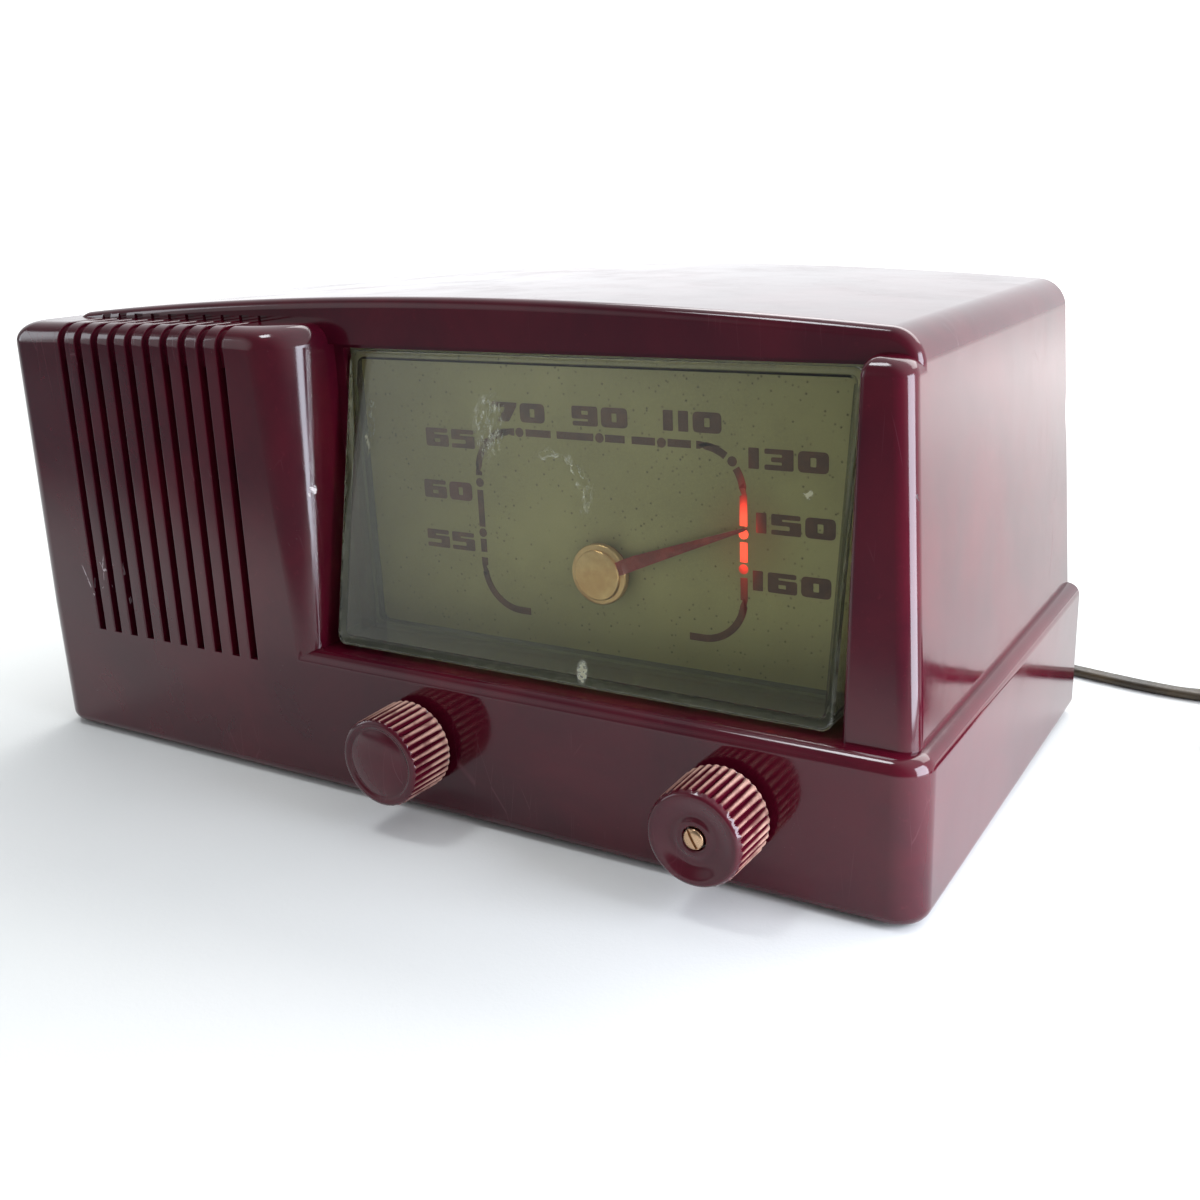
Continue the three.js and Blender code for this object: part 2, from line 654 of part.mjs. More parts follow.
function tuningShaft() {
  const groove = [behind(CORD_PLANE - 2), behind(CORD_PLANE + 2)];
  const profile = [[0, behind(-14)], [SHAFT_RADIUS, behind(-14)], [SHAFT_RADIUS, groove[0]]];
  profile.push([SPINDLE_RADIUS, groove[0] + 0.4], [SPINDLE_RADIUS, groove[1] - 0.4], [SHAFT_RADIUS, groove[1]]);
  profile.push([SHAFT_RADIUS, behind(56)], [0, behind(56)]);
  const bore = rodAlongY(TUNING_X, KNOB_Z, 1.3, behind(-15), behind(-6), 12);
  return turnedAlongY(TUNING_X, KNOB_Z, profile, 20).subtract(bore);
}

// A threaded bush with a hexagon nut in front of the chassis and a shoulder behind it.
function bushing(x) {
  const hole = SHAFT_RADIUS + 0.4;
  const sheetFront = behind(CHASSIS.frontY);
  const sheetBack = sheetFront + CHASSIS.sheet;
  const profile = [[hole, sheetFront - 4.5], [4.6, sheetFront - 4.5], [4.6, sheetBack + GAP]];
  profile.push([6.5, sheetBack + GAP], [6.5, sheetBack + 2.6], [hole, sheetBack + 2.6], [hole, sheetFront - 4.5]);
  const nut = cut(
    rodAlongY(x, KNOB_Z, 7.2, sheetFront - 3, sheetFront - GAP, 6),
    rodAlongY(x, KNOB_Z, hole, sheetFront - 5, sheetFront + 5),
  );
  return join(turnedAlongY(x, KNOB_Z, profile, 20), nut);
}

add('gang_frame', 'steel', gangFrame());
add('gang_stator', 'aluminium', gangStator());
add('gang_rotor', 'aluminium', gangRotor());
add('dial_drum', 'aluminium', dialDrum());
add('dial_cord', 'dialCordFibre', dialCord());
add('pointer_hub', 'brass', pointerHub());
add('pointer', 'redCelluloid', pointer());
add('tuning_shaft', 'steel', tuningShaft());
add('tuning_bushing', 'brass', bushing(TUNING_X));

// ---- knobs and volume control -------------------------------------------------------------

// A fluted knob: the flutes run from the back nearly to the front, where faceProfile shapes the face.
function knob(x, faceProfile) {
  const back = behind(KNOB.back);
  const fluteFront = behind(KNOB.front) + 1.4;
  const points = [];
  const steps = KNOB.flutes * 2;
  for (let i = 0; i < steps; i += 1) {
    const radius = KNOB.radius - (i % 2) * 0.8;
    const angle = (2 * Math.PI * i) / steps;
    points.push([x + radius * Math.cos(angle), KNOB_Z + radius * Math.sin(angle)]);
  }
  const fluted = prism('y', outlineOf(points), fluteFront, back);
  const inner = fluteFront + 3;
  const core = [...faceProfile, [KNOB.faceRadius, fluteFront + 1], [KNOB.faceRadius, inner], [0, inner]];
  const bore = rodAlongY(x, KNOB_Z, SHAFT_RADIUS + GAP, behind(-14) - GAP, back + 1);
  const ring = [[6, back - 4], [10.5, back - 4], [10.5, back + 1], [6, back + 1], [6, back - 4]];
  const skirtHollow = turnedAlongY(x, KNOB_Z, ring, 16);
  return cut(join(fluted, turnedAlongY(x, KNOB_Z, core, 28)), bore, skirtHollow);
}

function domedFace() {
  const face = behind(KNOB.front);
  const dome = [[0, face], [4, face + 0.25], [7.5, face + 0.9], [9.6, face + 1.7]];
  return [...dome, [10.2, face + 1.9], [11, face + 0.9], [12, face + 0.8]];
}

function dishedFace() {
  const face = behind(KNOB.front);
  return [[0, face + 1.6], [3.4, face + 1.6], [4.6, face + 0.9], [8, face + 0.6], [10.8, face + 0.1], [11.8, face + 0.1]];
}

function tuningKnob() {
  const face = behind(KNOB.front);
  const seat = rodAlongY(TUNING_X, KNOB_Z, 2.9, face - 1, face + 2.2, 20);
  const hole = rodAlongY(TUNING_X, KNOB_Z, 1.6, face, face + 8, 12);
  return cut(knob(TUNING_X, dishedFace()), seat, hole);
}

function knobScrew() {
  const head = behind(KNOB.front) + 0.3;
  const seat = behind(KNOB.front) + 2.2 - GAP;
  const profile = [[0, head], [2.1, head + 0.1], [2.5, head + 0.5], [2.5, seat], [1, seat]];
  profile.push([1, behind(-7)], [0, behind(-7)]);
  const slot = box(TUNING_X - 0.35, TUNING_X + 0.35, head - 1, head + 0.8, KNOB_Z - 4, KNOB_Z + 4);
  return turnedAlongY(TUNING_X, KNOB_Z, profile, 20).subtract(slot);
}

function volumeShaft() {
  const tip = behind(-13.6);
  const rod = rodAlongY(VOLUME_X, KNOB_Z, SHAFT_RADIUS, tip, behind(51));
  const flat = box(VOLUME_X - 4, VOLUME_X + 4, tip - 1, behind(-4), KNOB_Z + 2, KNOB_Z + 4);
  return rod.subtract(flat);
}

// The volume control with its bush, its switch at the back and three solder lugs.
function volumeControl() {
  const front = behind(CHASSIS.frontY + CHASSIS.sheet) + 2.4;
  const profile = [[SHAFT_RADIUS + 0.4, front], [11.4, front], [12, front + 0.6], [12, front + 9], [9.4, front + 9.4]];
  profile.push([9.4, front + 16], [0, front + 16], [0, front + 7]);
  profile.push([SHAFT_RADIUS + 0.4, front + 7], [SHAFT_RADIUS + 0.4, front]);
  let body = join(turnedAlongY(VOLUME_X, KNOB_Z, profile, 20), bushing(VOLUME_X));
  for (const x of [-6, 0, 6]) {
    const lug = box(VOLUME_X + x - 1.3, VOLUME_X + x + 1.3, front + 2, front + 2.8, KNOB_Z + 8, KNOB_Z + 18);
    body = body.add(lug);
  }
  return body;
}

add('tuning_knob', 'bakelite', tuningKnob());
add('tuning_knob_screw', 'brass', knobScrew());
add('volume_knob', 'bakelite', knob(VOLUME_X, domedFace()));
add('volume_shaft', 'aluminium', volumeShaft());
add('volume_control', 'steel', volumeControl());

// ---- loudspeaker --------------------------------------------------------------------------

function speakerBaffle() {
  const front = behind(6.3);
  const board = box(-141.5, -50, front, front + 2.5, 29, 129.2);
  return board.subtract(rodAlongY(SPEAKER.x, SPEAKER.z, 41, front - 1, front + 4, 28));
}

function speakerBasket() {
  const y = behind(SPEAKER.front);
  const profile = [[42.4, y], [SPEAKER.rim, y], [SPEAKER.rim, y + 1.4], [44, y + 1.4], [41.4, y + 8]];
  profile.push([25, y + 29]);
  profile.push([20, y + 31], [9, y + 31], [9, y + 29.6], [19.4, y + 29.6], [23.8, y + 28], [40.2, y + 7], [42.4, y]);
  let basket = turnedAlongY(SPEAKER.x, SPEAKER.z, profile, 24);
  for (let i = 0; i < 4; i += 1) {
    const window = box(-10, 10, y + 10, y + 25, 24, 50).rotate([0, 45 + 90 * i, 0]);
    basket = basket.subtract(window.translate([SPEAKER.x, 0, SPEAKER.z]));
  }
  return basket;
}

function speakerCone() {
  const y = behind(SPEAKER.front);
  const profile = [[41.8, y + 0.5], [41.8, y + 1.3], [38.4, y + 1.6], [13, y + 23], [8, y + 24], [0, y + 21]];
  profile.push([0, y + 20.2], [8, y + 23.1], [12.4, y + 22.2], [38, y + 0.7], [41.8, y + 0.5]);
  return turnedAlongY(SPEAKER.x, SPEAKER.z, profile, 24);
}

function speakerMagnet() {
  const y = behind(SPEAKER.front) + 31 + GAP;
  const profile = [[0, y], [17, y], [17, y + 2], [19, y + 2], [19, y + 15], [17.5, y + 16.5], [0, y + 16.5]];
  return turnedAlongY(SPEAKER.x, SPEAKER.z, profile, 20);
}

function outputTransformer() {
  const foot = CHASSIS.deck + GAP;
  const core = box(-128, -96, behind(78), behind(92), foot, foot + 27);
  const winding = box(-122, -102, behind(73.5), behind(96.5), foot + 6, foot + 21);
  const strap = box(-134, -90, behind(79), behind(91), foot, foot + 1.2);
  return join(core, winding, strap);
}

add('grille_cloth', 'grilleCloth', box(-139.5, -53, behind(5.4), behind(6), 29, 129.2));
add('speaker_baffle', 'fibreboard', speakerBaffle());
add('speaker_basket', 'steel', speakerBasket());
add('speaker_cone', 'conePaper', speakerCone());
add('speaker_magnet', 'castIron', speakerMagnet());
add('output_transformer', 'castIron', outputTransformer());

// ---- chassis and electrics ----------------------------------------------------------------

const TUBES = [
  { name: 'converter_tube', x: 112, y: 100, height: 46 },
  { name: 'amplifier_tube', x: 20, y: 118, height: 46 },
  { name: 'detector_tube', x: -12, y: 92, height: 46 },
  { name: 'output_tube', x: -76, y: 114, height: 58 },
  { name: 'rectifier_tube', x: -114, y: 116, height: 58 },
];
const IF_CANS = [[62, 112], [-22, 122]];
const SOCKET_HEIGHT = 6;

function chassis() {
  const { left, right, deck, sheet, foot } = CHASSIS;
  const front = behind(CHASSIS.frontY);
  const leftFront = behind(CHASSIS.leftFrontY);
  const back = behind(CHASSIS.backY);
  const step = -34;
  let pan = join(
    box(left, right, leftFront, back, deck - sheet, deck),
    box(step, right, front, leftFront + 1, deck - sheet, deck),
    box(step, right, front, front + sheet, foot, deck),
    box(left, right, back - sheet, back, foot, deck),
    box(step, step + sheet, front, leftFront + sheet, foot, deck),
    box(left, step + sheet, leftFront, leftFront + sheet, foot, deck),
    box(left, right, back - 14, back, foot, foot + sheet),
  );
  for (const { x, y } of TUBES) {
    pan = pan.subtract(rodAlongZ(x, behind(y), 7, deck - 3, deck + 1, 16));
  }
  for (const x of [VOLUME_X, TUNING_X]) {
    pan = pan.subtract(rodAlongY(x, KNOB_Z, 4.6 + GAP, front - 1, front + 3));
  }
  for (const [x, y] of CHASSIS_SCREWS) {
    const bracket = box(x - 8, x + 8, y - 8, back - 10, foot, foot + sheet);
    pan = pan.add(bracket).subtract(rodAlongZ(x, y, 2.3, foot - 1, foot + 3, 12));
  }
  return pan;
}

function tubeSocket({ x, y }) {
  const foot = CHASSIS.deck + GAP;
  const profile = [[4, foot - 3.5], [6.4, foot - 3.5], [6.4, foot], [11, foot], [11, foot + 1.4], [9.6, foot + 2]];
  profile.push([9.6, foot + SOCKET_HEIGHT], [4, foot + SOCKET_HEIGHT], [4, foot - 3.5]);
  return turnedAlongZ(x, behind(y), profile, 14);
}

function tube({ x, y, height }) {
  const base = CHASSIS.deck + SOCKET_HEIGHT + 2 * GAP;
  const top = base + height;
  const profile = [[0, base], [8, base], [9.4, base + 2], [9.5, top - 10], [8.4, top - 6], [5, top - 3]];
  profile.push([2.4, top - 2], [1, top], [0, top]);
  return turnedAlongZ(x, behind(y), profile, 14);
}

function ifCan([x, y]) {
  const foot = CHASSIS.deck + GAP;
  const plan = roundedRectangle(x - 10, x + 10, behind(y) - 10, behind(y) + 10, 2);
  const can = prism('z', plan, foot, foot + 52, { curveSegments: 2 });
  return can.subtract(rodAlongZ(x, behind(y), 2.6, foot + 48, foot + 60, 12));
}

function loopAntenna() {
  const front = behind(COVER.front) - 2 - GAP;
  const outer = roundedRectangle(-116, 116, 34, 122, 10);
  const inner = roundedRectangle(-104, 104, 46, 88, 6);
  const ring = prism('y', outer, front, front + 2);
  return ring.subtract(prism('y', inner, front - 1, front + 3));
}

add('chassis', 'steel', chassis());
TUBES.forEach((spec) => {
  add(`${spec.name}_socket`, 'phenolic', tubeSocket(spec));
  add(spec.name, 'tubeGlass', tube(spec));
});
IF_CANS.forEach((place, i) => add(`if_transformer_${i + 1}`, 'aluminium', ifCan(place)));
add('filter_capacitor', 'aluminium', rodAlongZ(-48, behind(94), 12.5, CHASSIS.deck + GAP, CHASSIS.deck + 58, 28));
add('loop_antenna', 'copper', loopAntenna());

// ---- mains lead ---------------------------------------------------------------------------

function strainRelief() {
  const inside = behind(COVER.front) - 2;
  const flange = behind(COVER.front + COVER.thick) + GAP;
  const bore = LEAD_DIAMETER / 2 + GAP;
  const profile = [[bore, inside], [6, inside], [6, flange], [8, flange], [8, flange + 2], [5.4, flange + 3]];
  profile.push([4.2, behind(RELIEF_END)], [bore, behind(RELIEF_END)], [bore, inside]);
  return turnedAlongY(LEAD_X, LEAD_Z, profile, 20);
}

function lead(points, steps) {
  const section = new THREE.Shape();
  section.absarc(0, 0, LEAD_DIAMETER / 2 - 0.05, 0, 2 * Math.PI, false);
  const path = new THREE.CatmullRomCurve3(points.map((p) => new THREE.Vector3(...p)));
  const geometry = new THREE.ExtrudeGeometry(section, { steps, extrudePath: path, curveSegments: 4 });
  return solid(geometry);
}

// From the strain relief down to the table, then along it to the coil.
const LEAD_ROUTE = [
  [100, 107.3, 22],
  [100.4, 111, 21.5],
  [102, 116, 18.9],
  [105.5, 120.5, 14.4],
  [111, 123.8, 8.5],
  [118.5, 125.3, 3],
  [128, 125.1, -1],
  [138, 123.6, -2.1],
  [148, 121.3, -2.2],
  [158, 119, -2.2],
  [169, 116.9, -2.2],
  [181, 115.8, -2.2],
  [193, 116, -2],
  [204, 117, -1.2],
  [213.5, 118.2, -0.4],
];

// From the coil's outside to the plug.
const TAIL_ROUTE = [
  [276, 58.6, -0.8],
  [276.4, 52, -0.8],
  [276.6, 46, 0.2],
  [276.6, 39, 2.2],
  [276.6, 32.5, 3],
];

const PLUG = { x: 276.6, y: 32.2, z: 3 };

function leadCoil() {
  const inner = COIL.radius - COIL.halfBand;
  const outer = COIL.radius + COIL.halfBand;
  const profile = [[inner, COIL.bottom], [outer, COIL.bottom], [outer, COIL.top]];
  profile.push([inner, COIL.top], [inner, COIL.bottom]);
  return turnedAlongZ(COIL.x, COIL.y, profile, 36);
}

function coilTie() {
  const inner = COIL.radius - COIL.halfBand - 0.5;
  const outer = COIL.radius + COIL.halfBand + 0.5;
  const x0 = COIL.x - outer;
  const x1 = COIL.x - inner;
  const shellThick = 1;
  const y0 = COIL.y - 3;
  const y1 = COIL.y + 3;
  const foot = TABLE_Z + 0.2;
  const outside = box(x0 - shellThick, x1 + shellThick, y0, y1, foot, COIL.top + 0.4 + shellThick);
  return outside.subtract(box(x0, x1, y0 - 1, y1 + 1, foot + shellThick, COIL.top + 0.4));
}

function plugBody() {
  const nose = roundedRectangle(PLUG.x - 7, PLUG.x + 7, PLUG.z - 6, PLUG.z + 6, 4);
  const grip = roundedRectangle(PLUG.x - 12, PLUG.x + 12, PLUG.z - 8, PLUG.z + 8, 6);
  const face = PLUG.y - 27;
  const body = join(
    prism('y', nose, PLUG.y - 14, PLUG.y - GAP),
    prism('y', grip, face, PLUG.y - 11),
  );
  return cut(body, ...plugBladeSeats(face));
}

const bladeX = (side) => PLUG.x + side * 6.35;

function plugBladeSeats(face) {
  return [-1, 1].map((side) => box(
    bladeX(side) - 1.1, bladeX(side) + 1.1, face - 1, face + 6, PLUG.z - 3.5, PLUG.z + 3.5,
  ));
}

function plugBlade(side) {
  const face = PLUG.y - 27;
  const x = bladeX(side);
  const blade = box(x - 0.75, x + 0.75, face - 16, face + 5.6, PLUG.z - 3.15, PLUG.z + 3.15);
  const hole = box(x - 2, x + 2, face - 12.5, face - 10, PLUG.z - 1.3, PLUG.z + 1.3);
  return blade.subtract(hole);
}

add('strain_relief', 'rubber', strainRelief());
add('mains_lead', 'leadRubber', lead(LEAD_ROUTE, 44));
add('mains_lead_coil', 'leadRubber', leadCoil());
add('mains_lead_tail', 'leadRubber', lead(TAIL_ROUTE, 10));
add('coil_tie', 'phenolic', coilTie());
add('plug_body', 'phenolic', plugBody());
add('plug_blade_1', 'brass', plugBlade(-1));
add('plug_blade_2', 'brass', plugBlade(1));

export default radio;
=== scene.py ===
"""A moulded bakelite table radio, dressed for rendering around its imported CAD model.

Shapes are drawn in millimetres: +X to the right of someone facing the front panel, +Z up, the
front panel facing -Y. They become metres when a mesh is made, and finish_piece moves them by
PLACED, from where they are drawn to where they stand in the CAD frame.
"""
import math

import bpy
from mathutils import Matrix, Vector


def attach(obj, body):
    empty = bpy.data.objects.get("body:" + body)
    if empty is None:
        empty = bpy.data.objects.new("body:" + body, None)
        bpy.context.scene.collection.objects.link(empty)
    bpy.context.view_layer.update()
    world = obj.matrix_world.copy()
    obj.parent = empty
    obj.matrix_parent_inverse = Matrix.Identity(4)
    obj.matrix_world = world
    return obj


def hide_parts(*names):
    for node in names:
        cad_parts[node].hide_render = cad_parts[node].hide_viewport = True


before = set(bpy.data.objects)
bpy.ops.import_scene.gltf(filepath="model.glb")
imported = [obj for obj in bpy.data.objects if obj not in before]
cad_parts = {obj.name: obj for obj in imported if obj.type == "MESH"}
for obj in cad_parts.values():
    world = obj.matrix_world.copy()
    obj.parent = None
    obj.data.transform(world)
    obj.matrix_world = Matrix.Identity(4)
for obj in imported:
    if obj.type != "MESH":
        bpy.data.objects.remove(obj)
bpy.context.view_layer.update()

MM = 0.001

# ---- sizes shared with the CAD model ---------------------------------------------------------

FRONT = -69.0
DEPTH = 157.0
CENTRE_X = -4.3
HALF_WIDTH = 154.3
LEFT = CENTRE_X - HALF_WIDTH
RIGHT = CENTRE_X + HALF_WIDTH
TABLE_Z = -5.2
RIM_Z = -4.5
FLOOR_Z = 1.2
PLACED = Vector((-CENTRE_X, 0.0, -TABLE_Z)) * MM
LEDGE_Z = 39.0
EDGE_RADIUS = 4.0
CORNER_RADIUS = 8.6
WALL = 3.5
SIDE_AT_LEDGE = 150.4
SIDE_DRAFT = 0.07
CROWN_Z = 140.3
CROWN_DROP = 6.2
CROWN_REACH = 144.3
SHOULDER_RADIUS = 9.0
HOOD_DEPTH = 20.0
HOOD_UNDERSIDE = 127.0
SHELF_Z = 133.2
COLUMN_RIGHT = -35.6
PANEL_LEAN = 0.017
SLOT_COUNT = 10
SLOT_FIRST_X = -130.2
SLOT_PITCH = 7.75
SLOT_WIDTH = 3.0
SLOT_BOTTOM = 33.0
SLOT_TOP = 121.0
TOP_ROUNDING = 6.4
POST_LEFT = 127.5
LENS_LEFT = -31.3
LENS_RIGHT = 125.0
LENS_BOTTOM = 40.4
LENS_TOP = 124.9
LENS_FRONT = 6.0
LENS_LEAN = 0.212
LENS_BACK = 27.4
PLATE_FRONT = 27.8
DIAL_X = 51.7
DIAL_Z = 67.0
POINTER_ANGLE = math.radians(20.9)
POINTER_LENGTH = 45.9
KNOB_Z = 18.0
VOLUME_X = 2.6
TUNING_X = 100.0
KNOB_FRONT = -19.0
KNOB_FLUTES = 36
SPEAKER_X = -95.0
SPEAKER_Z = 80.0
LEAD_DIAMETER = 5.6
LEAD_THICKNESS = 2.9
COIL_X = 238.0
COIL_Y = 81.0
COVER_SCREWS = [(-142.6, 13), (134, 13), (-138.6, 116), (130, 116)]
COVER_BACK = 154.7
COLLAR_BACK = 25.6
PLUG_X = 276.6
PLUG_Z = 3.0
FEET = [(-133.6, -50), (125, -50), (-133.6, 70), (125, 70)]
CHASSIS_SCREWS = [(-60, 40), (90, 40)]
FOOT_HOLE_RADIUS = 6.3
SCREW_HOLE_RADIUS = 2.3
SHAFT_HOLE_RADIUS = 5.0
SPEAKER_RADIUS = 45.0
LENS_GAP = 0.9
VENT_MIDDLES = range(-50, 60, 20)
VENT_WIDTH = 4.4


def behind(distance):
    """y of a point that lies so far behind the front panel."""
    return FRONT + distance


# ---- mesh helpers ----------------------------------------------------------------------------

def new_object(name, data):
    obj = bpy.data.objects.new(name, data)
    bpy.context.scene.collection.objects.link(obj)
    return obj


def make_object(name, points, faces):
    """A mesh object from points in millimetres."""
    mesh = bpy.data.meshes.new(name)
    mesh.from_pydata([(x * MM, y * MM, z * MM) for x, y, z in points], [], faces)
    mesh.validate()
    return new_object(name, mesh)


def face_outward(obj):
    """Turns a closed mesh's faces outward if they face inward."""
    mesh = obj.data
    mesh.calc_loop_triangles()
    volume = 0.0
    for triangle in mesh.loop_triangles:
        a, b, c = (mesh.vertices[i].co for i in triangle.vertices)
        volume += a.dot(b.cross(c))
    if volume < 0:
        mesh.flip_normals()
    return obj


def loft(name, rings, closed=False):
    """A skin through equally long rings of points, capped unless the last ring meets the first."""
    count = len(rings[0])
    levels = len(rings)
    faces = []
    for level in range(levels if closed else levels - 1):
        here = level * count
        above = (level + 1) % levels * count
        for i in range(count):
            j = (i + 1) % count
            faces.append((here + i, here + j, above + j, above + i))
    if not closed:
        faces.append(tuple(reversed(range(count))))
        faces.append(tuple((levels - 1) * count + i for i in range(count)))
    return face_outward(make_object(name, [point for ring in rings for point in ring], faces))


def flat(outline, z):
    """An outline in (x, y), laid at one height."""
    return [(x, y, z) for x, y in outline]


def upright(outline, y):
    """An outline in (x, z), stood at one depth."""
    return [(x, y, z) for x, z in outline]


def join(name, parts):
    """One object out of several, which are removed."""
    points = []
    faces = []
    for part in parts:
        start = len(points)
        points += [tuple(v.co / MM) for v in part.data.vertices]
        faces += [tuple(start + i for i in polygon.vertices) for polygon in part.data.polygons]
        bpy.data.objects.remove(part)
    return make_object(name, points, faces)


def box(name, x0, x1, y0, y1, z0, z1):
    return loft(name, [flat([(x0, y0), (x1, y0), (x1, y1), (x0, y1)], z) for z in (z0, z1)])


def turned(name, axis, place, profile, sides=48, closed=False, ripple=None):
    """A turned piece about an axis parallel to Y, or upright. The profile lists (radius, along).

    A radius of 0 at either end closes the piece with a fan. ripple changes a radius by angle."""
    points = []
    faces = []
    rings = []
    for index, (radius, along) in enumerate(profile):
        if radius == 0:
            rings.append([len(points)])
            points.append((0.0, 0.0, along))
            continue
        ring = []
        for i in range(sides):
            angle = 2 * math.pi * i / sides
            r = radius if ripple is None else ripple(radius, index, angle)
            ring.append(len(points))
            points.append((r * math.cos(angle), r * math.sin(angle), along))
        rings.append(ring)
    pairs = list(zip(rings, rings[1:])) + ([(rings[-1], rings[0])] if closed else [])
    for low, high in pairs:
        for i in range(sides):
            j = (i + 1) % sides
            if len(low) == 1:
                faces.append((low[0], high[j], high[i]))
            elif len(high) == 1:
                faces.append((low[i], low[j], high[0]))
            else:
                faces.append((low[i], low[j], high[j], high[i]))
    if axis == "y":
        placed = [(place[0] + u, along, place[1] + v) for u, v, along in points]
    else:
        placed = [(place[0] + u, place[1] + v, along) for u, v, along in points]
    return face_outward(make_object(name, placed, faces))


def rod(name, axis, place, radius, start, end, sides=32):
    """A round bar along Y or upright, from start to end."""
    return turned(name, axis, place, [(0, start), (radius, start), (radius, end), (0, end)], sides)


def evaluated_mesh(obj):
    """A new mesh of an object with its modifiers and curve settings applied."""
    bpy.context.view_layer.update()
    graph = bpy.context.evaluated_depsgraph_get()
    return bpy.data.meshes.new_from_object(obj.evaluated_get(graph))


def combine(obj, others, operation):
    """Boolean of obj with each of the others in turn. The others are removed."""
    for other in others:
        modifier = obj.modifiers.new("combine", "BOOLEAN")
        modifier.operation = operation
        modifier.solver = "MANIFOLD"
        modifier.object = other
        mesh = evaluated_mesh(obj)
        obj.modifiers.clear()
        obj.data = mesh
        bpy.data.objects.remove(other)
    return obj


def shade(obj, material, angle):
    """One material, and smooth shading with edges sharper than the angle kept sharp."""
    obj.data.materials.clear()
    obj.data.materials.append(material)
    for polygon in obj.data.polygons:
        polygon.use_smooth = True
        polygon.material_index = 0
    obj.data.set_sharp_from_angle(angle=math.radians(angle))


def finish_piece(obj, material, body, replaced=(), angle=32.0, weighted=True):
    """Puts a piece in place, with its material, shading, body and the nodes it stands for."""
    obj.data.transform(Matrix.Translation(PLACED))
    shade(obj, material, angle)
    if weighted:
        modifier = obj.modifiers.new("even_shading", "WEIGHTED_NORMAL")
        modifier.keep_sharp = True
        modifier.weight = 60
    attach(obj, body)
    if replaced:
        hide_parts(*replaced)
    return obj


def quarter(radius, steps):
    """(inward, along) of a quarter round, from a face to the side that it rounds into."""
    turns = [math.pi / 2 * i / steps for i in range(steps + 1)]
    return [(radius * (1 - math.sin(a)), radius * (1 - math.cos(a))) for a in turns]


def arc(x, y, radius_x, radius_y, start, end, steps):
    """Points on part of an ellipse, with angles in degrees."""
    points = []
    for i in range(steps + 1):
        angle = math.radians(start + (end - start) * i / steps)
        points.append((x + radius_x * math.cos(angle), y + radius_y * math.sin(angle)))
    return points


def rounded_plan(half_x, half_y, radius, centre_x, centre_y, steps=6):
    """A rounded rectangle."""
    points = []
    for side_x, side_y, start in ((1, 1, 0), (-1, 1, 90), (-1, -1, 180), (1, -1, 270)):
        x = centre_x + side_x * (half_x - radius)
        y = centre_y + side_y * (half_y - radius)
        points += arc(x, y, radius, radius, start, start + 90, steps)
    return points


def rounded_levels(top, radius, steps):
    """(z, inset) up the last stretch of a solid whose top edge is rounded."""
    return [(top - along, inset) for inset, along in reversed(quarter(radius, steps))]


# ---- material helpers ------------------------------------------------------------------------

def colour(value):
    """An sRGB hex colour as linear RGBA. Anything else comes back as it is."""
    if not isinstance(value, str):
        return value
    channels = [int(value[i:i + 2], 16) / 255 for i in (0, 2, 4)]
    linear = [c / 12.92 if c <= 0.04045 else ((c + 0.055) / 1.055) ** 2.4 for c in channels]
    return (*linear, 1.0)


class Tree:
    """A short way to add nodes to a node tree. A value is a number, a tuple or a socket."""

    def __init__(self, tree):
        self.tree = tree

    def node(self, kind, inputs=(), **settings):
        """A new node with its settings, and with each named input set to a value or linked."""
        node = self.tree.nodes.new("ShaderNode" + kind)
        for name, value in settings.items():
            setattr(node, name, value)
        for name, value in dict(inputs).items():
            self.put(value, node.inputs[name])
        return node

    def put(self, value, target):
        """Links a socket to an input, or sets the input to a number or tuple."""
        if isinstance(value, bpy.types.NodeSocket):
            self.tree.links.new(value, target)
        else:
            target.default_value = value

    def span(self, value, low, high, to_low=0.0, to_high=1.0, curve="SMOOTHSTEP"):
        """A value carried from one range to another and held at its ends."""
        return self.node("MapRange", {
            "Value": value, "From Min": low, "From Max": high, "To Min": to_low, "To Max": to_high,
        }, interpolation_type=curve).outputs["Result"]

    def math(self, operation, *values):
        node = self.node("Math", operation=operation)
        for socket, value in zip(node.inputs, values):
            self.put(value, socket)
        return node.outputs[0]

    def chain(self, operation, value, *others):
        """The first value joined to each of the others in turn by one operation."""
        for other in others:
            value = self.math(operation, value, other)
        return value

    def times(self, *values):
        return self.chain("MULTIPLY", *values)

    def plus(self, *values):
        return self.chain("ADD", *values)

    def minus(self, *values):
        return self.chain("SUBTRACT", *values)

    def most(self, *values):
        return self.chain("MAXIMUM", *values)


